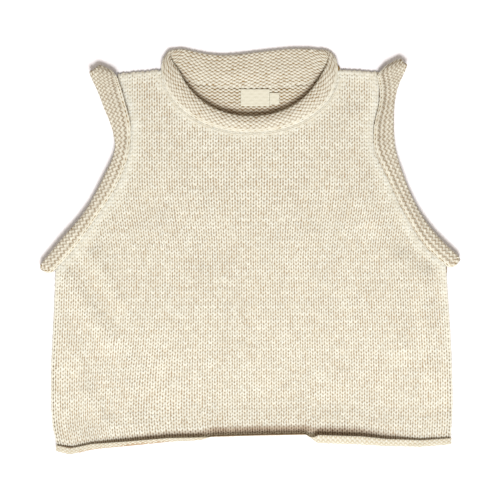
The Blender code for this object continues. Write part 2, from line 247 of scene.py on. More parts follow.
def scoop(half_width, top, depth):
    """Neck curve from left to right: x runs as the cosine and y as the sine of half a turn, to its
    power."""
    angle = np.linspace(0, np.pi, NECK_STEPS + 1)
    cosine, sine = np.cos(angle), np.clip(np.sin(angle), 0, 1)
    across = np.sign(cosine) * np.abs(cosine) ** (2 / NECK_ROUND[0])
    return np.stack([NECK_X - half_width * across, top - depth * sine ** (2 / NECK_ROUND[1])], axis=1)


def side_of_curve(points):
    """Unit vectors in the plan, square to a curve and to the left of its direction."""
    run = np.gradient(points, axis=0)
    square = np.stack([-run[:, 1], run[:, 0]], axis=1)
    return square / np.linalg.norm(square, axis=1)[:, None]


def hem_values(x, column):
    """One column of the HEM table, read in straight lines between its rows."""
    return np.interp(x, [row[0] for row in HEM], [row[column] for row in HEM])


def fold_line(x):
    """y of the line along which both hems fold: the front's edge plus the half width of its turn."""
    return hem_values(x, 1) + hem_values(x, 2)


def folds(x, y):
    """Height of the soft folds: each is a ridge along a line, a bell curve across it that fades at its
    ends."""
    height = np.zeros_like(x)
    for x0, y0, x1, y1, width, rise in FOLDS:
        length = np.hypot(x1 - x0, y1 - y0)
        along = ((x - x0) * (x1 - x0) + (y - y0) * (y1 - y0)) / length
        across = ((x - x0) * (y1 - y0) - (y - y0) * (x1 - x0)) / length
        beyond = np.maximum(0, np.abs(along - length / 2) - length / 2)
        height += rise * np.exp(-((across / width) ** 2) - (beyond / width) ** 2)
    return height


# ---------------------------------------------------------------- plan of the panels


def side_edges():
    """Left and right boundary of a panel from the hem to the shoulder, the same points on front and
    back."""
    edges = []
    for side, armhole in ((LEFT_SIDE, LEFT_ARMHOLE), (RIGHT_SIDE, RIGHT_ARMHOLE)):
        lower = smooth(side, SIDE_STEPS)[:-1]
        edges.append(np.concatenate([lower, smooth(armhole, ARMHOLE_STEPS)[:, :2]]))
    return edges


def panel_plan(neck):
    """Plan of a panel as a grid [row, column] from the hem to the shoulders, with the seam points on its
    edges. Between the neck's corners a column runs from its place on the hem to its place on the neck;
    beyond them the columns share the room up to the side edge evenly. A row's y is a straight line
    between the side edges, plus what the hem and the neck add, each fading out towards the other."""
    left, right = side_edges()
    corner = np.array([0, SHOULDER_STEPS, SHOULDER_STEPS + NECK_STEPS, 2 * SHOULDER_STEPS + NECK_STEPS])
    column = np.arange(corner[-1] + 1)
    hem_x = np.interp(column, corner, (left[0, 0], *NECK_COLUMNS, right[0, 0]))
    hem_y = fold_line(hem_x)
    v = np.linspace(0, UNDERARM, SIDE_STEPS + 1)
    v = np.concatenate([v[:-1], np.linspace(UNDERARM, 1, ARMHOLE_STEPS + 1)])
    for edge, end in ((left, hem_y[0]), (right, hem_y[-1])):
        edge[:, 1] += (end - edge[0, 1]) * np.clip(1 - v / HEM_REACH, 0, 1)
    inner = slice(corner[1], corner[2] + 1)
    upper = ease((v - NECK_REACH) / (1 - NECK_REACH))[:, None]
    x = np.empty((len(v), len(column)))
    x[:, inner] = hem_x[inner] + (neck[:, 0] - hem_x[inner]) * upper
    share = np.linspace(0, 1, SHOULDER_STEPS + 1)
    x[:, : corner[1]] = (left[:, :1] + (x[:, corner[1], None] - left[:, :1]) * share)[:, :-1]
    x[:, corner[2] + 1 :] = (right[:, :1] + (x[:, corner[2], None] - right[:, :1]) * share)[:, -2::-1]
    across = (x - x[:, :1]) / (x[:, -1:] - x[:, :1])
    sides = left[:, 1:] + (right[:, 1:] - left[:, 1:]) * across
    top_y = np.interp(column, corner[[0, 1]], (left[-1, 1], neck[0, 1]))
    top_y[inner] = neck[:, 1]
    top_y[corner[2] :] = np.interp(column, corner[[2, 3]], (neck[-1, 1], right[-1, 1]))[corner[2] :]
    lower = (1 - v)[:, None] * (1 - upper)
    y = sides + lower * (hem_y - sides[0]) + upper * (top_y - sides[-1])
    return np.dstack([x, y])


def signed_distance(x, y, polygon):
    """Distance in the plan from each point to a closed outline, less than 0 outside it. A point is inside
    where a line from it towards +X crosses the outline an odd number of times."""
    point = np.stack([x, y], axis=-1).reshape(-1, 1, 2)
    start, end = polygon, np.roll(polygon, -1, axis=0)
    run = end - start
    share = np.clip(((point - start) * run).sum(-1) / (run**2).sum(-1), 0, 1)
    distance = np.linalg.norm(point - start - share[..., None] * run, axis=-1).min(1)
    spans = (start[:, 1] > point[..., 1]) != (end[:, 1] > point[..., 1])
    rise = np.where(run[:, 1] == 0, 1, run[:, 1])
    crossing = start[:, 0] + (point[..., 1] - start[:, 1]) * run[:, 0] / rise
    inside = (spans & (crossing > point[..., 0])).sum(1) % 2 == 1
    return np.where(inside, distance, -distance).reshape(x.shape)


def seam_outline(neck):
    """Closed outline of armholes, shoulders and neck, open wide below the underarms."""
    left = smooth(LEFT_ARMHOLE, 28)[:, :2]
    right = smooth(RIGHT_ARMHOLE, 28)[::-1, :2]
    foot = np.array([(right[-1, 0] + 60, -400.0), (left[0, 0] - 60, -400.0)])
    return np.concatenate([left, scoop(**neck), right, foot])


MAP_STEP = 3.0
MAP_X = np.arange(-282, 283, MAP_STEP)
MAP_Y = np.arange(-276, 277, MAP_STEP)


def seam_map(neck):
    """The signed distance to the seams on a square grid [y, x]."""
    x, y = np.meshgrid(MAP_X, MAP_Y)
    return signed_distance(x, y, seam_outline(neck))


def read_map(values, x, y):
    """A square grid of values read at any place, as a weighted mean of the four values round it."""
    column = np.clip((x - MAP_X[0]) / MAP_STEP, 0, len(MAP_X) - 1.001)
    row = np.clip((y - MAP_Y[0]) / MAP_STEP, 0, len(MAP_Y) - 1.001)
    c, r = column.astype(int), row.astype(int)
    u, v = column - c, row - r
    low = values[r, c] * (1 - u) + values[r, c + 1] * u
    high = values[r + 1, c] * (1 - u) + values[r + 1, c + 1] * u
    return low * (1 - v) + high * v


FRONT_SEAMS = seam_map(FRONT_SEAM)
BACK_SEAMS = seam_map(BACK_SEAM)
LEFT_LINE = smooth(LEFT_SIDE, 40)
RIGHT_LINE = smooth(RIGHT_SIDE, 40)
SHOULDER_X = (-300, -169.6, -110.7, 0, 113.3, 163, 300)
SHOULDER_Y = (225.5, 225.5, 231.5, 300, 232, 229, 229)
SHOULDER_RISE = (-3.0, 3.0, 3.0, 3.0, 0.0)  # how the rows of stitches follow the shoulders


def side_x(y):
    """x of the left and the right side of the body at a height y, straight up above the underarms."""
    left = np.interp(y, LEFT_LINE[:, 1], LEFT_LINE[:, 0])
    right = np.interp(y, RIGHT_LINE[:, 1], RIGHT_LINE[:, 0])
    return left, right


def edge_distance(x, y):
    """Distance in from the nearest side or shoulder, where front and back turn over into each other."""
    left, right = side_x(y)
    shoulder = np.interp(x, SHOULDER_X, SHOULDER_Y) - y
    return np.minimum(np.minimum(x - left, right - x), shoulder) - SIDE_INSET


def side_drop(x, y):
    """How far the middle of a wall has turned towards the seam plane: a quarter of an ellipse at the
    edge."""
    across = np.clip(1 - edge_distance(x, y) / SIDE_TURN, 0, 0.98)
    return HALF_LAYER * (1 - np.sqrt(1 - across**2))


def hem_lift(x, y):
    """Height that the turned-under back hem gives to what lies on it, easing in over HEM_LIFT_RUN."""
    return 2 * ROLL_RADIUS * ease(1 - (y - fold_line(x)) / HEM_LIFT_RUN)


def front_height(x, y):
    """Middle of the front's wall: flat on the back, raised by its folds and the back hem, and turned down
    at the sides."""
    fade = ease(np.minimum(read_map(FRONT_SEAMS, x, y), edge_distance(x, y)) / FOLD_FADE)
    return PLANE + HALF_LAYER + folds(x, y) * fade + hem_lift(x, y) - side_drop(x, y)


def back_height(x, y):
    """Middle of the back's wall: flat on the floor, raised at the hem that is turned under it."""
    return PLANE - HALF_LAYER + hem_lift(x, y) + side_drop(x, y)


def level_normal(height, x, y):
    """Unit normal of a height surface, from its rise over a short step to each side."""
    step = 0.4
    slope_x = (height(x + step, y) - height(x - step, y)) / (2 * step)
    slope_y = (height(x, y + step) - height(x, y - step)) / (2 * step)
    square = np.stack([-slope_x, -slope_y, np.ones_like(x)], axis=-1)
    return square / np.linalg.norm(square, axis=-1)[..., None]


def hem_turn(x):
    """The ellipse along which the front's hem turns: its half width and half height, the angle turned,
    and the length of the turn, as that angle times the root mean square of the two."""
    half_width, tall, turn = (hem_values(x, k) for k in (2, 3, 4))
    turn = np.radians(turn)
    radius = tall / (1 - np.cos(turn))
    return half_width, radius, turn, turn * np.sqrt((half_width**2 + radius**2) / 2)


def hem_length(x):
    return hem_turn(x)[3]


def front_hem(x, fold_y, run):
    """Point and inner normal of the front's turned-up hem, `run` millimetres out from the fold. The turn
    is part of an ellipse: outwards by the sine and upwards by one less the cosine of the angle turned."""
    half_width, radius, turn, length = hem_turn(x)
    angle = turn * run / length
    height = front_height(x, fold_y) + radius * (1 - np.cos(angle))
    point = np.stack([x, fold_y - half_width * np.sin(angle), height], axis=-1)
    square = np.stack([np.zeros_like(x), radius * np.sin(angle), half_width * np.cos(angle)], axis=-1)
    return point, square / np.linalg.norm(square, axis=-1)[..., None]


def body_plan(column, row):
    """Plan of the lattice of stitches: columns share the width between the sides, fan out under the neck
    and lean at the lower left; rows follow the hem near it, level out higher up and follow the shoulders
    at the top."""
    share = column / COLUMNS
    hem_x = HEM[0][0] + (HEM[-1][0] - HEM[0][0]) * share
    rise = np.maximum(row, 0) * ROW
    follow = (fold_line(hem_x) - MEAN_HEM - FOLD_UP) * (1 - ease(rise / HEM_FOLLOW))
    y = rise + MEAN_HEM + FOLD_UP + follow
    left, right = side_x(y)
    left = left + SIDE_INSET
    x = left + (right - SIDE_INSET - left) * share
    fan = FAN["reach"] * np.tanh(x / FAN["core"]) * ease((y - FAN["start"]) / FAN["run"])
    fan = fan * ease((FAN["edge"] - np.abs(x)) / FAN["fade"])
    lean = LEAN["reach"] * np.exp(-(((x - LEAN["middle"]) / LEAN["width"]) ** 2))
    lean = lean * ease((LEAN["top"] - y) / LEAN["run"])
    level = np.interp(x, SHOULDER_X[1:-1], SHOULDER_RISE) * ease((y - LEVEL_START) / LEVEL_RUN)
    return x + fan + lean, y + level


def front_place(column, row):
    """Point and outward normal of the front at a place on its lattice of stitches; rows below 0 run round
    the hem."""
    x, y = body_plan(column, row)
    flat = np.stack([x, y, front_height(x, y)], axis=-1)
    square = level_normal(front_height, x, y)
    hem, hem_square = front_hem(x, y, np.maximum(-row, 0) * ROW)
    below = (row < 0)[..., None]
    return np.where(below, hem, flat), np.where(below, hem_square, square)


def back_place(column, row):
    """Point and outward normal, facing down, of the back at a place on its lattice of stitches."""
    x, y = body_plan(column, row)
    flat = np.stack([x, y, back_height(x, y)], axis=-1)
    return flat, -level_normal(back_height, x, y)


HEM_ROWS = 5  # purl rows round the front's hem
HEM_OVERHANG = 0.4  # share of the last row that has no room and lies on the edge itself
BACK_HEM_ROWS = 6


def front_hem_place(column, row):
    """Point and outer normal of the front's turned-up hem: its rows share the way from the fold to the
    edge, and the last one ends early, on the edge itself."""
    x, y = body_plan(column, np.zeros_like(row))
    share = np.minimum(row / (HEM_ROWS - HEM_OVERHANG), 1)
    point, square = front_hem(x, y, share * hem_length(x))
    return point, -square


def back_hem_place(column, row):
    """Point and normal of the back's turned-under hem, its rows sharing the way from the fold to the
    edge."""
    x, y = body_plan(column, np.zeros_like(row))
    return back_hem(x, y, row / BACK_HEM_ROWS * back_hem_length(x))


INSIDE_STITCH = (7.1, 4.35)
INSIDE_Y = 146.0  # the inside of the back shows from here up to its neck seam
INSIDE_COLUMNS = 32
INSIDE_ROWS = 20
INSIDE_REACH = 8.0  # its stitches run on this far over the back's neck seam
INSIDE_UNDER = 14.0  # and this far under the front


def inside_place(column, row):
    """Point and normal, facing up, of the inside of the back below its neck seam."""
    x = NECK_X + (column - INSIDE_COLUMNS / 2) * INSIDE_STITCH[0]
    y = INSIDE_Y + row * INSIDE_STITCH[1] + 0 * x
    up = np.zeros((*x.shape, 3)) + (0, 0, 1)
    return np.stack([x, y, back_height(x, y)], axis=-1), up


# ---------------------------------------------------------------- rolled bands


def roll_section(width, lap, crown, settled):
    """Middle line of a band's wall from its seam to the roll and back over itself: distance from the
    seam, height along the outward direction, and how much of the way up its own roll it stands. Where it
    has settled, the part that is turned back follows the wall below it down to the seam."""
    turn = np.radians(ROLL_TURN)
    climb = np.array([0, 0.5, 1])
    rolled = width - ROLL_RADIUS * (1 - np.sin(turn))
    back = np.linspace(width - ROLL_RADIUS, lap * width, 4)[1:]
    over = 2 * ROLL_RADIUS + crown * np.sin(np.pi * np.arange(1, len(back) + 1) / CROWN_LENGTH)
    out = np.concatenate([RISE_SHARE * width * climb, rolled, back])
    rise = np.concatenate([np.zeros_like(climb), ROLL_RADIUS * (1 - np.cos(turn)), over])
    down = 1 + settled * (np.clip(back / (RISE_SHARE * width), 0, 1) - 1)
    climbed = np.concatenate([climb, np.ones(len(rolled)), down])
    return out, rise, climbed


def band_middle(stations, front_lap, standing):
    """Middle of a rolled band's wall as a closed ring of sections [station, point]. Each station is (seam
    x, seam y, edge x, edge y, facing, crown), where facing is 0 on the front, 180 on the back and between
    them where the flattened ring folds over. Beyond a y of standing the turned-back part stands off from
    the front."""
    seam, edge, facing, crown = stations[:, :2], stations[:, 2:4], np.radians(stations[:, 4]), stations[:, 5]
    run = edge - seam
    width = np.linalg.norm(run, axis=1)
    run = run / width[:, None]
    square = np.stack([-run[:, 1], run[:, 0]], axis=1)
    ring_middle = (seam.mean(axis=0) + edge.mean(axis=0)) / 2
    inwards = (((seam + edge) / 2 - ring_middle) * square).sum(axis=1) < 0
    square = np.where(inwards[:, None], -square, square)
    lap = front_lap + (BACK_LAP - front_lap) * ease(facing / np.pi * LAP_TURN)
    outward = np.column_stack([square * np.sin(facing)[:, None], np.cos(facing)])
    settled = 1 - ease((seam[:, 1] - standing) / SETTLE_RUN)
    ring = []
    for k in range(len(stations)):
        out, rise, climbed = roll_section(width[k], lap[k], crown[k], settled[k])
        plan = seam[k] + out[:, None] * run[k]
        level = PLANE + 2 * ROLL_RADIUS * ease(climbed)
        ring.append(np.column_stack([plan, level]) + (HALF_LAYER + rise[:, None]) * outward[k])
    return np.array(ring)


def fold_over(start, corner, end, facing, tuck=0.0):
    """Stations that turn a band over from one face to the other: from one place by way of the corner to
    another, as a parabola through the three. Halfway the edge is drawn in towards the seam by tuck."""
    steps = np.linspace(0, 1, FOLD_STEPS + 1)
    start, corner, end = (np.array(place, float) for place in (start, corner, end))
    t = steps[:, None]
    places = start * (1 - t) * (1 - 2 * t) + corner * 4 * t * (1 - t) + end * t * (2 * t - 1)
    angles = facing[0] + (facing[1] - facing[0]) * steps
    run = places[:, 2:] - places[:, :2]
    run = run / np.linalg.norm(run, axis=1)[:, None]
    places[:, 2:] -= run * tuck * np.sin(np.radians(angles))[:, None]
    crown = ROLL_CROWN * np.clip(np.cos(np.radians(angles)), 0, 1)
    return np.column_stack([places, angles, crown])


def facing_stations(places, angle, crown):
    return np.column_stack([places, np.full(len(places), angle), np.full(len(places), crown)])


def armhole_ring(armhole, top, tip, standing):
    """Front half up from the underarm, folded over at the shoulder, and the back half down under it. The
    tip says how far the fold reaches beyond the top."""
    plan = smooth(armhole, ARMHOLE_STEPS)
    outward = side_of_curve(plan[:, :2]) * (1 if armhole is LEFT_ARMHOLE else -1)
    plan[:, :2] += outward * SEAM_GAP
    plan[-1] = top
    stations = [
        facing_stations(plan[1:-1], 0, ROLL_CROWN),
        fold_over(plan[-1], plan[-1] + tip, plan[-1], (0, 180), TIP_TUCK),
        facing_stations(plan[-2:0:-1], 180, 0),
        fold_over(plan[0], plan[0], plan[0], (180, 0), TIP_TUCK / 2),
    ]
    return band_middle(np.concatenate(stations), ARMHOLE_LAP, standing)


def neck_ring():
    """Front half from the left corner to the right one, and the taller back half from right to left."""
    front_seam, back_seam = scoop(**FRONT_SEAM), scoop(**BACK_SEAM)
    front_seam += side_of_curve(front_seam) * SEAM_GAP
    back_seam += side_of_curve(back_seam) * SEAM_GAP
    front = np.concatenate([front_seam, scoop(**FRONT_ROLL)], axis=1)
    back_roll = smooth(BACK_ROLL, 160)
    share = (back_seam[:, 0] - back_seam[0, 0]) / (back_seam[-1, 0] - back_seam[0, 0])
    roll_x = back_roll[0, 0] + share * (back_roll[-1, 0] - back_roll[0, 0])
    back = np.column_stack([back_seam, roll_x, np.interp(roll_x, back_roll[:, 0], back_roll[:, 1])])
    for end in (0, -1):
        front[end, :2] = back[end, :2] = (front[end, :2] + back[end, :2]) / 2
    left, right = (*front[0, :2], *NECK_CORNERS[0]), (*front[-1, :2], *NECK_CORNERS[1])
    stations = [
        facing_stations(front[3:-4], 0, ROLL_CROWN),
        fold_over(front[-4], right, back[-4], (0, 180)),
        facing_stations(back[-5:3:-1], 180, 0),
        fold_over(back[3], left, front[2], (180, 0)),
    ]
    return band_middle(np.concatenate(stations), NECK_LAP, ALL_SETTLED)


BAND_FINE = 6
TIP_ROUNDING = 3  # times that the ring is averaged with its neighbours, which rounds the tips of the bands


def even_sections(grid):
    """Each section of a ring read again at places evenly spaced along its length."""
    step = np.linalg.norm(np.diff(grid, axis=1), axis=2)
    along = np.concatenate([np.zeros((len(grid), 1)), np.cumsum(step, axis=1)], axis=1)
    places = np.linspace(0, 1, grid.shape[1])
    made = np.empty_like(grid)
    for section, line, length in zip(made, grid, along):
        for axis in range(3):
            section[:, axis] = np.interp(places * length[-1], length, line[:, axis])
    return made


def fine_band(ring):
    """The ring refined along both ways, [place round the ring, place across the wall], and its purl-side
    normals: square to the surface, and facing down where the band leaves the front seam."""
    grid = refine(ring, BAND_FINE, True)
    for _ in range(TIP_ROUNDING):
        grid = (np.roll(grid, 1, axis=0) + 2 * grid + np.roll(grid, -1, axis=0)) / 4
    grid = even_sections(refine(grid.transpose(1, 0, 2), BAND_FINE, False).transpose(1, 0, 2))
    along = np.roll(grid, -1, axis=0) - np.roll(grid, 1, axis=0)
    across = np.gradient(grid, axis=1)
    square = np.cross(along, across)
    square = square / np.maximum(np.linalg.norm(square, axis=2), 1e-9)[..., None]
    front = square[: BAND_FINE * 10, : BAND_FINE * 2, 2].mean()
    return grid, square * (-1 if front > 0 else 1)


def band_place(grid, square, stitches, row_height):
    """Two functions: one from (stitch round the ring, row in from the rolled edge) to point and normal,
    read between the places of the fine grid, and one from a stitch to how many rows there is room for.
    Stitches share the length of the ring's middle line evenly. Rows are row_height[0] tall where the wall
    is narrowest and row_height[1] where it is widest."""
    middle = grid[:, grid.shape[1] // 2]
    step = np.linalg.norm(np.roll(middle, -1, axis=0) - middle, axis=1)
    along = np.concatenate([[0], np.cumsum(step)])
    count = len(grid)
    width = np.linalg.norm(np.diff(grid, axis=1), axis=2).sum(axis=1)
    rows = width / np.interp(width, (width.min(), width.max()), row_height)

    def between(column):
        at = np.interp((column % stitches) / stitches * along[-1], along, np.arange(count + 1))
        i = at.astype(int) % count
        return i, (i + 1) % count, at - at.astype(int)

    def room(column):
        i, k, u = between(column)
        return rows[i] * (1 - u) + rows[k] * u

    def place(column, row):
        i, k, u = between(column)
        here = rows[i] * (1 - u) + rows[k] * u
        across = np.clip(1 - row / here, 0, 0.9999) * (grid.shape[1] - 1)
        j = across.astype(int)
        u, v = u[..., None], (across - j)[..., None]
        point = (grid[i, j] * (1 - u) + grid[k, j] * u) * (1 - v)
        point = point + (grid[i, j + 1] * (1 - u) + grid[k, j + 1] * u) * v
        normal = (square[i, j] * (1 - u) + square[k, j] * u) * (1 - v)
        normal = normal + (square[i, j + 1] * (1 - u) + square[k, j + 1] * u) * v
        return point, normal / np.maximum(np.linalg.norm(normal, axis=-1), 1e-9)[..., None]

    return place, room


# ---------------------------------------------------------------- meshes


def quad_mesh(name, points, quads, finish, values=None, places=None):
    """A mesh from points, rows of four point numbers, named values at the points, and a place on the
    yarn."""
    mesh = bpy.data.meshes.new(name)
    mesh.vertices.add(len(points))
    mesh.vertices.foreach_set("co", (points * MM).astype(np.float32).ravel())
    mesh.loops.add(quads.size)
    mesh.loops.foreach_set("vertex_index", quads.astype(np.int32).ravel())
    mesh.polygons.add(len(quads))
    mesh.polygons.foreach_set("loop_start", np.arange(0, quads.size, 4, dtype=np.int32))
    mesh.update(calc_edges=True)
    mesh.shade_smooth()
    for key, value in (values or {}).items():
        layer = mesh.attributes.new(key, "FLOAT", "POINT")
        layer.data.foreach_set("value", value.astype(np.float32).ravel())
    if places is not None:
        layer = mesh.uv_layers.new(name="yarn")
        layer.data.foreach_set("uv", places[quads.ravel()].astype(np.float32).ravel())
    mesh.materials.append(finish)
    made = bpy.data.objects.new(name, mesh)
    bpy.context.scene.collection.objects.link(made)
    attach(made, "root")
    return made


def grid_quads(index):
    """The quads between neighbouring point numbers of a grid, over its last two axes."""
    corners = (index[..., :-1, :-1], index[..., :-1, 1:], index[..., 1:, 1:], index[..., 1:, :-1])
    return np.stack(corners, axis=-1).reshape(-1, 4)


def yarn_mesh(name, points, normals, values, places, finish):
    """Strips of yarn [strip, station, point across], turned so that their faces look along the cloth's
    normals."""
    index = np.arange(points[..., 0].size).reshape(points.shape[:-1])
    quads = grid_quads(index)
    flat = points.reshape(-1, 3)
    a, b, c = flat[quads[:, 0]], flat[quads[:, 1]], flat[quads[:, 2]]
    facing = (np.cross(b - a, c - a) * normals.reshape(-1, 3)[quads[:, 0]]).sum()
    if facing < 0:
        quads = quads[:, ::-1]
    values = {key: value.reshape(-1) for key, value in values.items()}
    return quad_mesh(name, flat, quads, finish, values, places.reshape(-1, 2))


def slab(name, middle, square, above, below, closed, finish, painted_shade=None):
    """Closed sheet between two copies of a grid, moved along its normals to each side. A closed one is a
    ring along its first axis, and the rim runs along what edges there are."""
    rows, columns = middle.shape[:2]
    upper, lower = middle + square * above, middle - square * below
    points = np.concatenate([upper.reshape(-1, 3), lower.reshape(-1, 3)])
    count = rows * columns
    index = np.arange(count).reshape(rows, columns)
    if closed:
        index = np.concatenate([index, index[:1]])
        rims = [index[:, 0], index[::-1, -1]]
    else:
        rims = [np.concatenate([index[0, ::-1], index[1:, 0], index[-1, 1:], index[-2::-1, -1]])]
    sides = [np.stack([rim[:-1], rim[1:], rim[1:] + count, rim[:-1] + count], axis=1) for rim in rims]
    top = grid_quads(index)
    quads = np.concatenate([top, top[:, ::-1] + count, *sides])
    a, b, c, d = points[quads].transpose(1, 0, 2)
    if (np.cross(a, b) * c + np.cross(a, c) * d).sum() < 0:
        quads = quads[:, ::-1]
    # painted shade of hollows and cast shadows, kept at the points
    values = {"painted_shade": painted_shade(points)} if painted_shade else None
    return quad_mesh(name, points, quads, finish, values)


def laid_sheet(grid, closed):
    """Repeats the first row of a closed grid after its last; nothing else is done with the grid."""
    if closed:
        grid = np.concatenate([grid, grid[:1]])


# ---------------------------------------------------------------- stitches


# Painted shade over the hem, beside the right armhole and in the neck: where it lies, as (low end, high end,
# length of the rise, length of the fall)
STANDING_HEM = (-56, 80, 8, 8)  # x, where the front's hem stands up
WIDE_HEM_SHADE = (80, 200, 10, 60)  # x, where the hem's painted shade reaches twice as far above the fold
RIGHT_GROOVE = (-20, 135, 20, 20)  # y
HEM_SHADE_REACH = 3.0  # how far the painted shade over the hem reaches above and below the fold
HEM_SHADE_FADE = 6.0  # it fades out above that over this distance
TALL_HEM = 9.0  # height of a turn that gets the deepest painted shade
# painted shadow of the front's band on the inside of the neck: strength, and where it lies
NECK_PAINTED_SHADE = dict(depth=0.5, half_width=108, edge=8, reach=19, fade=18, top=244)
# painted shade in the groove beside the right armhole's band: strength, and where it sets in
GROOVE_SHADE = dict(depth=0.45, outside=1.2, edge=0.8)


def hem_painted_shade(point):
    """How much painted shade a point of the front gets in the hollow over its turned-up hem, where the turn
    shades it. It is full from the fold to HEM_SHADE_REACH above it, or twice that at the right, and fades
    over HEM_SHADE_FADE. Below the fold it sets in over HEM_SHADE_REACH, or twice that where the hem stands
    up. It is stronger where the turn is taller."""
    x, y = point[..., 0], point[..., 1]
    up = y - hem_values(x, 1) - hem_values(x, 2)
    standing = stretch(x, *STANDING_HEM)
    below = HEM_SHADE_REACH + HEM_SHADE_REACH * standing
    above = HEM_SHADE_REACH + HEM_SHADE_REACH * stretch(x, *WIDE_HEM_SHADE)
    depth = (hem_values(x, 3) / TALL_HEM) ** 2 * (0.72 + 0.08 * standing)
    return ease((up + below) / below) * (1 - ease((up - above) / HEM_SHADE_FADE)) * depth


def neck_painted_shade(point):
    """Painted shadow of the front's band on the inside of the neck, at a point: half strength at the front's
    neck seam and for a reach inwards from it, then fading, and none beyond the neck's corners or above the
    lower wall."""
    away = -read_map(FRONT_SEAMS, point[..., 0], point[..., 1])
    inside = (point[..., 2] < PLANE + WALL) & (point[..., 1] < NECK_PAINTED_SHADE["top"])
    across = ease((NECK_PAINTED_SHADE["half_width"] - np.abs(point[..., 0] - NECK_X)) / NECK_PAINTED_SHADE["edge"])
    fade = 1 - ease((away - NECK_PAINTED_SHADE["reach"]) / NECK_PAINTED_SHADE["fade"])
    return np.where(inside, NECK_PAINTED_SHADE["depth"] * across * fade, 0)


def armhole_painted_shade(point):
    """Painted shade in the groove between the right armhole's band and the front, along the lower part of
    their seam.
    """
    x, y = point[..., 0], point[..., 1]
    groove = ease((read_map(FRONT_SEAMS, x, y) + GROOVE_SHADE["outside"]) / GROOVE_SHADE["edge"])
    groove = groove * stretch(y, *RIGHT_GROOVE)
    return np.where((x > 0) & (point[..., 2] > PLANE), GROOVE_SHADE["depth"] * groove, 0)


HALF_TUBE = np.radians([-78, -28, 28, 78])  # points round the outer half of a yarn


def yarn_strips(place, column, row, rise, radius, pitch):
    """Half tubes on the cloth. column, row and rise give each strip's middle line [strip, station] in
    stitches, rows and millimetres above the wall's middle, radius its half width and depth, and pitch the
    size of a stitch."""
    run = np.stack([np.gradient(column, axis=1) * pitch[0], np.gradient(row, axis=1) * pitch[1]], axis=-1)
    run = run / np.maximum(np.linalg.norm(run, axis=-1), 1e-9)[..., None]
    aside = np.sin(HALF_TUBE) * radius[0][..., None]
    columns = column[..., None] + run[..., 1:] * aside / pitch[0]
    rows = row[..., None] - run[..., :1] * aside / pitch[1]
    height = rise[..., None] + np.cos(HALF_TUBE) * radius[1][..., None]
    point, normal = place(columns, rows)
    length = np.hypot(np.diff(column, axis=1) * pitch[0], np.diff(row, axis=1) * pitch[1])
    along = np.concatenate([np.zeros_like(column[:, :1]), np.cumsum(length, axis=1)], axis=1)
    around = np.broadcast_to(np.linspace(0, 1, len(HALF_TUBE)), columns.shape)
    places = np.stack([around, np.broadcast_to(along[..., None], columns.shape)], axis=-1)
    point = point + normal * height[..., None]
    point[..., 2] = np.maximum(point[..., 2], 0)
    return point, normal, height, places, (columns, rows)


KNIT = dict(middle=0.25, swing=0.068, length=1.2, half_width=1.31, depth=0.95, sink=-0.3, arch=0.65)
KNIT_TOP = 1.7  # height over which a leg's colour runs from painted shade to light
ROW_SIZES = 400  # rows of stitches that each have their own size


def knit_cloth(
    name, place, column, row, finish, stations=6, shape=KNIT, pitch=(STITCH, ROW), close=1.0, painted_shade=None
):
    """The right side of plain knitting: each stitch is a V of two legs of yarn. A leg stands a quarter of
    a stitch to either side of its column's middle and sways from there as one sine wave a row, inwards at
    its foot and outwards at its head. Its width and height follow the upper part of half a sine wave, so
    that its ends dive under the next."""
    count = len(column)
    t = np.linspace(0, 1, stations)
    wave = np.sin(np.pi * (0.2 + 0.6 * t))
    jitter = random.normal(0, 1, (7, count, 1, 1))
    row_size = random.normal(0, 1, ROW_SIZES)[row.astype(int) % ROW_SIZES][:, None, None]
    odd = np.where(row.astype(int) % 2 == 0, 1.0, -1.0)[:, None, None]
    side = np.array([-1.0, 1.0])[None, :, None]
    sway = np.sin(2 * np.pi * (t - 0.5) * shape["length"])
    sway = shape["middle"] + shape["swing"] * (1 + 0.2 * jitter[0]) * sway
    across = column[:, None, None] + 0.5 + side * sway + 0.024 * jitter[1] + 0.012 * side * odd
    up = row[:, None, None] + 0.9 + shape["length"] * (t - 0.5) * (1 + 0.04 * jitter[2])
    up = up + 0.035 * jitter[3] + 0.05 * side * jitter[5] + 0.012 * row_size
    rise = shape["sink"] + shape["arch"] * wave + 0.09 * jitter[4] * wave + 0.06 * side * jitter[6]
    size = 1 + 0.02 * row_size + 0.05 * jitter[2] - 0.015 * odd
    size = size * np.broadcast_to(close, count)[:, None, None]
    spread = np.broadcast_to(shape["half_width"] * wave**0.4 * size, (count, 2, stations))
    depth = np.broadcast_to(shape["depth"] * wave**0.4, (count, 2, stations))
    parts = [np.broadcast_to(part, (count, 2, stations)).reshape(-1, stations) for part in (across, up, rise)]
    radius = (spread.reshape(-1, stations), depth.reshape(-1, stations))
    point, normal, height, places, _ = yarn_strips(place, *parts, radius, pitch)
    tone = np.broadcast_to(random.normal(0, 1, (count, 1, 1, 1)), (count, 2, stations, 4))
    # painted shade on each leg's deep parts, where it dives under the next
    values = dict(yarn_painted_light=(height - shape["sink"]) / KNIT_TOP, yarn_tone=tone)
    # painted shade of hollows and cast shadows
    if painted_shade:
        values["painted_shade"] = painted_shade(point)
    return yarn_mesh(name, point, normal, values, places, finish)


PURL = dict(swing=0.25, half_width=0.33, widen=0.6, depth=1.0, sink=-0.15, arch=0.35, lift=0.2)
PURL_TOP = 1.35  # height over which the yarn's colour runs from painted shade to light
PURL_FLOOR = 0.15  # how light the yarn still is at the bottom
PURL_STATIONS = 8
PURL_OVERLAP = 0.07  # a stitch runs on this far into its neighbours


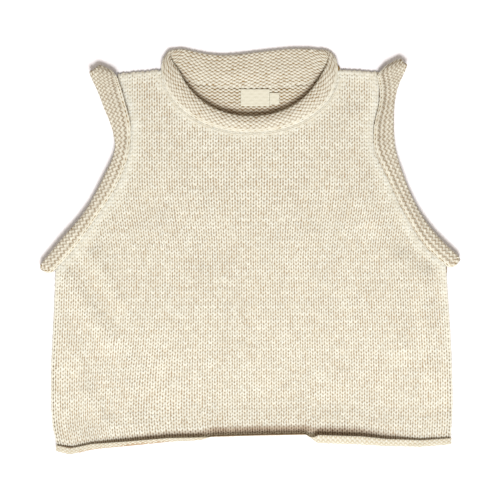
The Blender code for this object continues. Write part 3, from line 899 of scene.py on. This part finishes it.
def purl_cloth(name, place, column, row, finish, pitch, shape=PURL, tight=(0.0, 1.0), painted_shade=None, tone=0.0):
    """The wrong side of plain knitting: in each row the yarn swings up and down as a cosine, one wave a
    stitch, and stands highest where it turns. Its colour is painted from PURL_FLOOR at the bottom to full
    light at the top, and to full painted shade round the holes, of which each stitch has one over its turn up
    and one under its turn down: there the product of a cosine across and a sine along is 1."""
    count = len(column)
    t = np.linspace(-PURL_OVERLAP, 1 + PURL_OVERLAP, PURL_STATIONS)
    swing = np.cos(2 * np.pi * t)
    jitter = random.normal(0, 1, (3, count, 1))
    fade = np.sin(np.pi * t) ** 2
    across = column[:, None] + t + 0.03 * jitter[0] * fade
    up = row[:, None] + 0.5 + shape["swing"] * swing + 0.05 * jitter[1] * fade
    close = 1 + tight[0] * np.exp((row.min() - row)[:, None] / tight[1])
    rise = shape["sink"] + shape["arch"] * (swing**2) + 0.12 * jitter[2] * fade
    widen = 1 + shape["widen"] * np.sin(2 * np.pi * t) ** 2
    spread = np.broadcast_to(shape["half_width"] * pitch[1] * widen * close, (count, PURL_STATIONS))
    depth = np.full((count, PURL_STATIONS), shape["depth"])
    across, up, rise = (np.broadcast_to(part, (count, PURL_STATIONS)) for part in (across, up, rise))
    point, normal, height, places, (u, v) = yarn_strips(place, across, up, rise, (spread, depth), pitch)
    tone = np.broadcast_to(random.normal(tone, 0.6, (count, 1, 1)), (count, PURL_STATIONS, 4))
    slope = shape["lift"] * np.sin(2 * np.pi * t[:, None]) ** 2
    # painted shade in the holes between the purl bumps
    hole = (0.5 + 0.5 * np.cos(2 * np.pi * u) * np.sin(2 * np.pi * v)) ** 2.0
    # painted light on the yarn, from PURL_FLOOR at the bottom to full at the top
    level = PURL_FLOOR + (1 - PURL_FLOOR) * ((height - shape["sink"]) / PURL_TOP + slope)
    values = dict(yarn_painted_light=level * (1 - hole), yarn_tone=tone)
    # painted shade of hollows and cast shadows
    if painted_shade:
        values["painted_shade"] = painted_shade(point)
    return yarn_mesh(name, point, normal, values, places, finish)


CHAIN = (4.5, 4.3)  # width and length of a chain stitch along a seam
CHAIN_ASIDE = (-5.2, -3.8, -5.4)  # how far it lies aside from the neck's seam, at both ends and halfway
CHAIN_LIFT = 0.3


def seam_place(line, aside, lift):
    """A function from (across, along), in chain stitches, to point and normal on the front beside a seam:
    the way along is measured on the seam's line in the plan, and across it square to that line."""
    along = np.concatenate([[0], np.cumsum(np.linalg.norm(np.diff(line, axis=0), axis=1))])
    square = side_of_curve(line)

    def place(column, row):
        at = np.clip(row * CHAIN[1], 0, along[-1])
        x, y = (np.interp(at, along, line[:, axis]) for axis in (0, 1))
        out_x, out_y = (np.interp(at, along, square[:, axis]) for axis in (0, 1))
        across = (column - 0.5) * CHAIN[0] + np.interp(at / along[-1], np.linspace(0, 1, len(aside)), aside)
        x, y = x + out_x * across, y + out_y * across
        return np.stack([x, y, front_height(x, y) + lift], axis=-1), level_normal(front_height, x, y)

    return place, int(along[-1] / CHAIN[1])


def seam_chain(name, line, aside, lift, finish):
    """Chain stitches that join a band to the front, one V after the other along the seam."""
    place, count = seam_place(line, aside, lift)
    row = np.arange(2, count - 2).astype(float)
    shape = dict(KNIT, half_width=1.5, sink=0.0, arch=0.3)
    return knit_cloth(name, place, 0 * row, row, finish, shape=shape, pitch=CHAIN)


# ---------------------------------------------------------------- finishes


def new_group(name, inputs, outputs):
    """An empty shader group with its sockets, each (name, kind, value) going in and (name, kind) coming
    out."""
    group = bpy.data.node_groups.new(name, "ShaderNodeTree")
    for label, kind, value in inputs:
        socket = group.interface.new_socket(name=label, in_out="INPUT", socket_type=kind)
        if value is not None:
            socket.default_value = value
    for label, kind in outputs:
        group.interface.new_socket(name=label, in_out="OUTPUT", socket_type=kind)
    return group


def fill(tree, made, inputs):
    """Sets a node's inputs, each to a value or to another node's socket."""
    for key, value in inputs.items():
        if isinstance(value, bpy.types.NodeSocket):
            tree.links.new(value, made.inputs[key])
        else:
            made.inputs[key].default_value = value


def node(tree, kind, inputs=None, **settings):
    """A node with its settings and its inputs."""
    made = tree.nodes.new(kind)
    for key, value in settings.items():
        setattr(made, key, value)
    fill(tree, made, inputs or {})
    return made


def math(tree, operation, *values, clamp=False):
    inputs = dict(enumerate(values))
    return node(tree, "ShaderNodeMath", inputs, operation=operation, use_clamp=clamp).outputs[0]


def mix(tree, share, a, b, blend="MIX"):
    made = node(tree, "ShaderNodeMix", {0: share, 6: a, 7: b}, data_type="RGBA", blend_type=blend)
    return made.outputs[2]


def noise(tree, place, scale, detail):
    return node(tree, "ShaderNodeTexNoise", {"Vector": place, "Scale": scale, "Detail": detail}).outputs[0]


def bump(tree, strength, distance, height):
    inputs = {"Strength": strength, "Distance": distance, "Height": height}
    return node(tree, "ShaderNodeBump", inputs).outputs[0]


def attribute(tree, name):
    return node(tree, "ShaderNodeAttribute", attribute_name=name).outputs["Fac"]


def cloth_place(tree):
    return tree.nodes.new("ShaderNodeTexCoord").outputs["Object"]


# Tints of full painted shade, for hollows and cast shadows, on the yarn's light and shade and on the cloth
# under it
PAINTED_SHADE_ON_LIGHT = (0.46, 0.31, 0.18, 1)
PAINTED_SHADE_ON_SHADE = (0.12, 0.05, 0.02, 1)
PAINTED_SHADE_ON_GROUND = (0.12, 0.05, 0.025, 1)


def spun_yarn_group():
    """Spun cotton: painted shade deep between the stitches and in hollows and cast shadows, two plies twisted
    round each other, fine fibres, and slow changes of colour over the cloth."""
    inputs = (
        ("Light", "NodeSocketColor", (0.8, 0.75, 0.6, 1)),
        ("Shade", "NodeSocketColor", (0.3, 0.2, 0.1, 1)),
        ("Height", "NodeSocketFloat", 1.0),
        ("Tone", "NodeSocketFloat", 0.0),
        ("Yarn", "NodeSocketVector", None),
        ("Cloth", "NodeSocketVector", None),
        ("Ply", "NodeSocketFloat", 2.6),
        ("Painted Shade", "NodeSocketFloat", 0.0),
    )
    outputs = (("Color", "NodeSocketColor"), ("Roughness", "NodeSocketFloat"), ("Height", "NodeSocketFloat"))
    group = new_group("spun_yarn", inputs, outputs)
    start = group.nodes.new("NodeGroupInput").outputs
    end = group.nodes.new("NodeGroupOutput")
    split = node(group, "ShaderNodeSeparateXYZ", {0: start["Yarn"]}).outputs
    turn = math(group, "MULTIPLY", math(group, "DIVIDE", split[1], start["Ply"]), 6.2832)
    turn = math(group, "ADD", turn, math(group, "MULTIPLY", split[0], 3.6))
    ply = math(group, "ABSOLUTE", math(group, "SINE", turn))
    fibre = noise(group, start["Cloth"], 900.0, 3.0)
    drift = noise(group, start["Cloth"], 22.0, 2.0)

    deep = math(group, "POWER", start["Height"], 0.75, clamp=True)
    # painted shade: the yarn's light and shade turn darker and browner in hollows and cast shadows
    darker = math(group, "MULTIPLY", start["Painted Shade"], 0.85)
    light = mix(group, darker, start["Light"], PAINTED_SHADE_ON_LIGHT, "MULTIPLY")
    darkest = math(group, "MULTIPLY", start["Painted Shade"], 1.5, clamp=True)
    shade = mix(group, darkest, start["Shade"], PAINTED_SHADE_ON_SHADE)
    base = mix(group, deep, shade, light)

    value = math(group, "MULTIPLY_ADD", ply, 0.07, 0.93)
    value = math(group, "ADD", value, math(group, "MULTIPLY", start["Tone"], 0.018))
    fleck = math(group, "MULTIPLY", math(group, "SUBTRACT", fibre, 0.5), 0.10)
    drift = math(group, "MULTIPLY", math(group, "SUBTRACT", drift, 0.5), 0.12)
    value = math(group, "ADD", value, math(group, "ADD", fleck, drift))
    colour = node(group, "ShaderNodeHueSaturation", {"Color": base, "Value": value}).outputs[0]
    rough = math(group, "MULTIPLY_ADD", fibre, 0.12, 0.84)
    relief = math(group, "ADD", math(group, "MULTIPLY", ply, 0.6), math(group, "MULTIPLY", fibre, 0.4))
    fill(group, end, {"Color": colour, "Roughness": rough, "Height": relief})
    return group


def material(name):
    made = bpy.data.materials.new(name)
    made.use_nodes = True
    return made, made.node_tree, made.node_tree.nodes["Principled BSDF"]


def yarn_finish(name, group, light, shade):
    """Spun cotton yarn, from its light where it stands out to its shade deep between the stitches."""
    made, tree, shader = material(name)
    inputs = {
        "Light": (*light, 1),
        "Shade": (*shade, 1),
        "Height": attribute(tree, "yarn_painted_light"),
        "Tone": attribute(tree, "yarn_tone"),
        "Painted Shade": attribute(tree, "painted_shade"),
        "Yarn": node(tree, "ShaderNodeUVMap", uv_map="yarn").outputs[0],
        "Cloth": cloth_place(tree),
    }
    spun = node(tree, "ShaderNodeGroup", inputs, node_tree=group).outputs
    finish = {
        "Base Color": spun["Color"],
        "Roughness": spun["Roughness"],
        "Normal": bump(tree, 0.5, 0.0003, spun["Height"]),
        "Sheen Weight": 0.15,
        "Sheen Roughness": 0.5,
        "Specular IOR Level": 0.25,
    }
    fill(tree, shader, finish)
    return made


def ground_finish(name, colour):
    """The yarn deep inside the cloth, seen only between the stitches, coloured dark brown: painted shade on
    the same cream cotton.
    """
    made, tree, shader = material(name)
    cloud = noise(tree, cloth_place(tree), 160.0, 3.0)
    dark = tuple(0.7 * part for part in colour)
    tint = mix(tree, cloud, (*dark, 1), (*colour, 1))
    # painted shade of hollows and cast shadows on the cloth under the stitches
    tint = mix(tree, math(tree, "MULTIPLY", attribute(tree, "painted_shade"), 1.2, clamp=True), tint, PAINTED_SHADE_ON_GROUND)
    relief = bump(tree, 0.4, 0.0004, cloud)
    fill(tree, shader, {"Base Color": tint, "Normal": relief, "Roughness": 0.95, "Specular IOR Level": 0.1})
    return made


def tape_finish(name):
    """Closely woven cotton tape: fine ribs across it and finer warp threads along it, with slow changes of
    tone."""
    made, tree, shader = material(name)
    place = cloth_place(tree)

    def threads(scale, distortion, direction):
        inputs = {"Vector": place, "Scale": scale, "Distortion": distortion, "Detail": 1.0}
        return node(tree, "ShaderNodeTexWave", inputs, bands_direction=direction).outputs[1]

    weft, warp = threads(170.0, 0.8, "Y"), threads(420.0, 0.5, "X")
    weave = math(tree, "MULTIPLY", weft, math(tree, "ADD", warp, 0.6))
    raised = math(tree, "MULTIPLY", weave, 0.75, clamp=True)
    cloud = math(tree, "MULTIPLY", noise(tree, place, 240.0, 3.0), 0.25)
    tint = mix(tree, raised, (0.66, 0.66, 0.51, 1), (0.90, 0.91, 0.78, 1))
    tint = mix(tree, cloud, tint, (0.80, 0.80, 0.65, 1))
    relief = bump(tree, 0.6, 0.00015, weave)
    fill(tree, shader, {"Base Color": tint, "Normal": relief, "Roughness": 0.75, "Specular IOR Level": 0.3})
    return made


# ---------------------------------------------------------------- pieces


SEAM_OVERLAP = 1.4  # stitches whose middle lies this far over a seam are still made
SIDE_ROOM = 0.4  # the middle of a stitch lies at least this far inside the sides
TOP_OVERLAP = 0.6  # and its top no further than this outside them
FRONT_STRIPS = dict(left=(0, 27), middle=(27, 55), right=(55, COLUMNS))
BACK_STRIPS = dict(left=(0, 41), right=(41, COLUMNS))


def cells(columns, rows):
    """Column and row numbers of a block of stitches, row by row."""
    row, column = np.meshgrid(np.arange(*rows), np.arange(columns), indexing="ij")
    return column.ravel().astype(float), row.ravel().astype(float)


def body_cells(seams, rows):
    """Column and row numbers of the stitches whose middle lies inside the seams and the shoulders."""
    column, row = cells(COLUMNS, rows)
    x, y = body_plan(column + 0.5, row + 0.5)
    inside = (read_map(seams, x, y) > -SEAM_OVERLAP) & (edge_distance(x, y) > SIDE_ROOM)
    kept = inside & (edge_distance(*body_plan(column + 0.5, row + 1.3)) > -TOP_OVERLAP)
    return column[kept], row[kept]


def in_strips(strips, column, row):
    """The stitches of each named strip, from its first column to before its last."""
    for part, (first, last) in strips.items():
        kept = (column >= first) & (column < last)
        yield part, column[kept], row[kept]


SIDE_GROUND = (-35.0, 15.0)  # the cloth is drawn in at the sides up to here, and how fast that ends
CORNER_REACH = 104.0  # beyond this the neck's corners are cut level with the shoulders
CORNER_TOP = 229.0


def hem_grid(hem, length, rows, x, fold_y):
    """A hem as rows of points and normals, from its edge to just below the fold."""
    share = np.linspace(1, 0, rows + 1)[:-1, None]
    x, fold_y = (np.broadcast_to(line, (rows, len(line))) for line in (x, fold_y))
    return hem(x, fold_y, length(x) * share)


def panel_base(name, neck, height, hem, ground, finish, painted_shade):
    """The closed cloth under a panel's stitches, cut along its seams, with its hem added below its first
    row. The hem is given as its surface, its length and how many rows of points it has."""
    plan = panel_plan(scoop(**neck))
    plan = refine(refine(plan, 3, False).transpose(1, 0, 2), 3, False).transpose(1, 0, 2)
    x, y = plan[..., 0], plan[..., 1]
    share = (x - x[:, :1]) / (x[:, -1:] - x[:, :1])
    side_y = y[:, :1] + (y[:, -1:] - y[:, :1]) * share
    sides = 1 - ease((side_y - SIDE_GROUND[0]) / SIDE_GROUND[1])
    x = x + GROUND_INSET * (1 - 2 * share) * sides
    top = np.interp(x, SHOULDER_X, SHOULDER_Y) - GROUND_INSET
    y = np.where(np.abs(x - NECK_X) > CORNER_REACH, np.minimum(y, np.minimum(top, CORNER_TOP)), y)
    body = np.dstack([x, y, height(x, y)])
    square = level_normal(height, x, y)
    hem_points, hem_square = hem_grid(*hem, x[0], y[0])
    middle, square = np.concatenate([hem_points, body]), np.concatenate([hem_square, square])
    return slab(name, middle, square, *ground, False, finish, painted_shade), middle


def back_hem_reach(x):
    """How far out from the fold the back's hem runs level before it turns under."""
    return hem_values(x, 2) - BACK_HEM_INSET + WALL / 2 - ROLL_RADIUS


def back_hem(x, fold_y, run):
    """Point and upper normal of the back's hem, `run` millimetres out from the fold: level, half a round
    turn down and a level return."""
    reach = back_hem_reach(x)
    start = back_height(x, fold_y)
    angle = np.clip((run - reach) / ROLL_RADIUS, 0, np.pi)
    returned = np.maximum(run - reach - np.pi * ROLL_RADIUS, 0)
    out = np.minimum(run, reach) + ROLL_RADIUS * np.sin(angle) - returned
    point = np.stack([x, fold_y - out, start - ROLL_RADIUS * (1 - np.cos(angle))], axis=-1)
    square = np.stack([np.zeros_like(x), -np.sin(angle), np.cos(angle)], axis=-1)
    return point, square


def back_hem_length(x):
    return back_hem_reach(x) + np.pi * ROLL_RADIUS + BACK_HEM_RETURN


def band_pieces(name, ring, stitch, row_height, finish, tight, painted_shade=None):
    """A band's cloth, its purl stitches, and the chain of its last row."""
    grid, square = fine_band(ring)
    base = slab(name + "_cloth", grid[:, ::2], square[:, ::2], *BAND_GROUND, True, finish["under"], painted_shade)
    middle = grid[:, grid.shape[1] // 2]
    length = np.linalg.norm(np.roll(middle, -1, axis=0) - middle, axis=1).sum()
    stitches = int(round(length / stitch))
    place, room = band_place(grid, square, stitches, row_height)
    pitch = (stitch, row_height[1])

    def edge_place(across, along):
        return place(along, 1 - across)

    edge = np.arange(stitches).astype(float)
    edging = knit_cloth(
        name + "_edge",
        edge_place,
        0 * edge,
        edge,
        finish["yarn"],
        shape=dict(KNIT, half_width=1.3, sink=-0.2, arch=0.5),
        pitch=pitch[::-1],
        painted_shade=armhole_painted_shade,
    )
    column, row = cells(stitches, (1, int(room(np.arange(stitches)).max()) + 1))
    kept = row + 0.4 < room(column + 0.5)
    column, row = column[kept], row[kept]
    inner = finish["inner"]
    stitched = purl_cloth(name + "_stitches", place, column, row, inner, pitch, tight=tight, painted_shade=painted_shade)
    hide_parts(name)
    laid_sheet(grid, True)


TAPE_GRID = (45, 33)  # points along and across a tape
TAPE_DROP = 0.35  # its flat top lies this far below its node's
TAPE_END = 2.6  # length of the ends that are turned under
SEWING = dict(pitch=2.1, length=1.4, start=1.6, spare=3, inset=1.1, stations=5)


def tape_surface(low, high, turned):
    """Middle surface and half thickness of a tape over its node's length and width: its top is that of
    the node less TAPE_DROP, lower round its edges, higher where an end is turned under, with a slow wave
    over it all."""
    size = high - low
    u, v = np.meshgrid(np.linspace(0, 1, TAPE_GRID[0]), np.linspace(0, 1, TAPE_GRID[1]))
    x = low[0] + size[0] * u
    y = low[1] + size[1] * v
    end = np.minimum(u, 1 - u) * size[0]
    side = np.minimum(v, 1 - v) * size[1]
    x = x + 0.16 * np.sin(0.9 * y) * (1 - ease(end / 3))
    y = y + 0.14 * np.sin(0.7 * x + 1) * (1 - ease(side / 3))
    doubled = turned * (1 - ease((end - TAPE_END) / 0.7))
    wave = 0.14 * np.sin(0.55 * x + 0.6) * np.sin(0.8 * y)
    top = high[2] - TAPE_DROP + doubled + wave - 0.3 * (1 - ease(np.minimum(end, side) / 0.8))
    return np.dstack([x, y, (top + low[2]) / 2]), ((top - low[2]) / 2)[..., None]


def running_stitches(name, low, high, turned, thread):
    """Running stitches along both ends of a tape, each an arc of thread that dips into it at both its
    ends."""

    def place(column, row):
        level = np.full_like(column, high[2] - TAPE_DROP + turned)
        return np.stack([column, row, level], axis=-1), np.zeros((*column.shape, 3)) + (0, 0, 1)

    count = int((high[1] - low[1] - SEWING["spare"]) / SEWING["pitch"])
    start = low[1] + SEWING["start"] + SEWING["pitch"] * np.arange(count)[:, None]
    t = np.linspace(0, 1, SEWING["stations"])
    row = np.concatenate([start + SEWING["length"] * t, start + SEWING["length"] * t])
    ends = (low[0] + SEWING["inset"], high[0] - SEWING["inset"])
    column = np.concatenate([np.full((count, len(t)), end) for end in ends])
    rise = 0.3 * np.broadcast_to(np.sin(np.pi * t), row.shape) - 0.25
    radius = (0.22 + 0 * row, 0.2 + 0 * row)
    point, normal, height, places, _ = yarn_strips(place, column, row, rise, radius, (1.0, 1.0))
    values = dict(yarn_painted_light=np.full(height.shape, 1.0), yarn_tone=np.zeros(height.shape))
    return yarn_mesh(name, point, normal, values, places, thread)


def tape(name, node_name, turned, finish, thread):
    """A short woven tape that lies on the inside of the back in place of its node, its ends sewn down."""
    low, high = (np.array(corner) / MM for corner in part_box(node_name))
    middle, half = tape_surface(low, high, turned)
    up = np.zeros_like(middle) + (0, 0, 1)
    cloth = slab(name, middle, up * half, 1, 1, False, finish)
    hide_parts(node_name)
    sewn = running_stitches(name + "_stitches", low, high, turned, thread)


SEAM_CLOSE = dict(share=0.5, start=3, fade=8)  # stitches of the front are this much wider beside a seam
HEM_PITCH = (STITCH, 4.4)
BACK_ROWS = BODY_ROWS + 6


def finishes():
    group = spun_yarn_group()
    return dict(
        # each yarn's second colour is painted shade for its deep parts and the holes between stitches; the
        # wrong side's is darker
        yarn=yarn_finish("undyed_cotton_yarn", group, (0.865, 0.90, 0.80), (0.49, 0.38, 0.18)),
        inner=yarn_finish("undyed_cotton_yarn_wrong_side", group, (0.91, 0.935, 0.805), (0.22, 0.125, 0.03)),
        # the cloth under the stitches is coloured dark brown as painted shade
        ground=ground_finish("shaded_cotton_in_the_gaps", (0.52, 0.40, 0.26)),
        under=ground_finish("shaded_cotton_in_the_gaps_of_the_wrong_side", (0.33, 0.21, 0.07)),
    )


def front_cloth(finish):
    """The front's cloth in place of its panel."""
    hem = (front_hem, hem_length, 12)
    cloth, grid = panel_base(
        "front_cloth", FRONT_SEAM, front_height, hem, FRONT_GROUND, finish["ground"], hem_painted_shade
    )
    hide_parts("front_panel")
    return cloth, grid


def front_stitches(finish):
    """The front's stitches in three strips, from the rows round its hem to its seams."""
    column, row = body_cells(FRONT_SEAMS, (-5, BODY_ROWS))
    x = body_plan(column + 0.5, row)[0]
    kept = -(row + 0.2) * ROW < hem_length(x)
    made = []
    for part, across, up in in_strips(FRONT_STRIPS, column[kept], row[kept]):
        inside = read_map(FRONT_SEAMS, *body_plan(across + 0.5, up + 0.5))
        near = np.exp(-((np.maximum(inside - SEAM_CLOSE["start"], 0) / SEAM_CLOSE["fade"]) ** 2))
        close = 1 + SEAM_CLOSE["share"] * near
        name = "front_stitches_" + part
        made.append(knit_cloth(name, front_place, across, up, finish["yarn"], close=close, painted_shade=hem_painted_shade))
    return made


def bands(finish):
    """The neckband and both armhole bands: size of a stitch round the ring, heights of a row where the
    band is narrowest and widest, and how much closer the first rows stand and how soon that ends."""
    band_pieces("neckband", neck_ring(), 6.9, (5.1, 4.3), finish, (0.2, 1.2), neck_painted_shade)
    ring = armhole_ring(LEFT_ARMHOLE, LEFT_TOP, LEFT_TIP, STANDING_OFF)
    band_pieces("armhole_band_left", ring, 6.0, (5.6, 5.6), finish, (0.4, 1.2))
    ring = armhole_ring(RIGHT_ARMHOLE, RIGHT_TOP, RIGHT_TIP, ALL_SETTLED)
    band_pieces("armhole_band_right", ring, 6.0, (5.6, 5.6), finish, (0.5, 1.5))


def front_hem_stitches(finish):
    column, row = cells(COLUMNS, (0, HEM_ROWS))
    shape = dict(PURL, half_width=0.42)
    yarn = finish["yarn"]
    return purl_cloth("front_hem_stitches", front_hem_place, column, row, yarn, HEM_PITCH, shape, tone=-6.0)


def back_cloth(finish):
    hem = (back_hem, back_hem_length, 16)
    return panel_base("back_cloth", BACK_SEAM, back_height, hem, BACK_GROUND, finish["under"], neck_painted_shade)


def back_stitches(finish):
    """The back's stitches in two strips, with fewer points each, because they face the floor."""
    made = []
    for part, across, up in in_strips(BACK_STRIPS, *body_cells(BACK_SEAMS, (0, BACK_ROWS))):
        made.append(knit_cloth("back_stitches_" + part, back_place, across, up, finish["yarn"], 4))
    return made


def back_hem_stitches(finish):
    column, row = cells(COLUMNS, (0, BACK_HEM_ROWS))
    return purl_cloth("back_hem_stitches", back_hem_place, column, row, finish["inner"], HEM_PITCH)


def back_inside_stitches(finish):
    """The purl side of the back, where it shows in the neck."""
    column, row = cells(INSIDE_COLUMNS, (0, INSIDE_ROWS))
    x, y, _ = np.moveaxis(inside_place(column + 0.5, row + 0.5)[0], -1, 0)
    kept = (read_map(BACK_SEAMS, x, y) > -INSIDE_REACH) & (read_map(FRONT_SEAMS, x, y) < INSIDE_UNDER)
    name = "back_inside_stitches"
    column, row = column[kept], row[kept]
    return purl_cloth(name, inside_place, column, row, finish["inner"], INSIDE_STITCH, painted_shade=neck_painted_shade)


def labels(finish):
    """The neck label and the size tab beside it, each sewn down with a little yarn."""
    woven = tape_finish("woven_cotton_tape")
    tape("neck_label_tape", "neck_label", 0.3, woven, finish["yarn"])
    tape("size_tab_tape", "size_tab", 0.2, woven, finish["yarn"])


def make_sweater():
    finish = finishes()
    front, front_grid = front_cloth(finish)
    on_front = front_stitches(finish)
    chain = seam_chain("neck_seam_chain", scoop(**FRONT_SEAM), CHAIN_ASIDE, CHAIN_LIFT, finish["yarn"])
    bands(finish)
    curl = front_hem_stitches(finish)
    back, back_grid = back_cloth(finish)
    laid_sheet(front_grid, False)
    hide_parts("back_panel")
    on_back = [*back_stitches(finish), back_hem_stitches(finish), back_inside_stitches(finish)]
    laid_sheet(back_grid, False)
    labels(finish)


FLOOR_REACH = 6.0
KEY_PLACE = (0.1, -1.72, 2.75)


def area_light(name, size, power, place, colour):
    """A square lamp that looks at the origin."""
    lamp = bpy.data.lights.new(name, "AREA")
    lamp.shape = "SQUARE"
    lamp.size = size
    lamp.energy = power
    lamp.color = colour
    made = bpy.data.objects.new(name, lamp)
    made.location = place
    made.rotation_euler = (-Vector(place)).to_track_quat("-Z", "Y").to_euler()
    bpy.context.scene.collection.objects.link(made)


def white_floor():
    made, tree, shader = material("white_floor")
    finish = {
        "Base Color": (1.0, 1.0, 1.0, 1),
        "Roughness": 1.0,
        "Emission Color": (0.3, 0.6, 1.0, 1),
        "Emission Strength": 0.07,
    }
    fill(tree, shader, finish)
    mesh = bpy.data.meshes.new("floor")
    corners = [(x * FLOOR_REACH, y * FLOOR_REACH, 0) for x, y in ((-1, -1), (1, -1), (1, 1), (-1, 1))]
    mesh.from_pydata(corners, [], [(0, 1, 2, 3)])
    mesh.materials.append(made)
    floor = bpy.data.objects.new("floor", mesh)
    bpy.context.scene.collection.objects.link(floor)


def even_sky():
    world = bpy.data.worlds.new("studio")
    world.use_nodes = True
    sky = world.node_tree.nodes["Background"]
    fill(world.node_tree, sky, {"Color": (1.0, 0.80, 0.64, 1), "Strength": 0.39})
    bpy.context.scene.world = world


def camera_above():
    lens = bpy.data.cameras.new("camera")
    lens.lens = CAMERA_LENS
    lens.sensor_width = 36
    camera = bpy.data.objects.new("camera", lens)
    camera.location = (0, CAMERA_Y, CAMERA_HEIGHT)
    bpy.context.scene.collection.objects.link(camera)
    bpy.context.scene.camera = camera


def studio():
    """A white floor, a sky that fills evenly, and one soft key light high on the hem's side."""
    white_floor()
    even_sky()
    area_light("key", 1.0, 106.0, KEY_PLACE, (1.0, 0.99, 1.03))
    bpy.context.scene.view_settings.view_transform = "Standard"
    camera_above()


make_sweater()
studio()
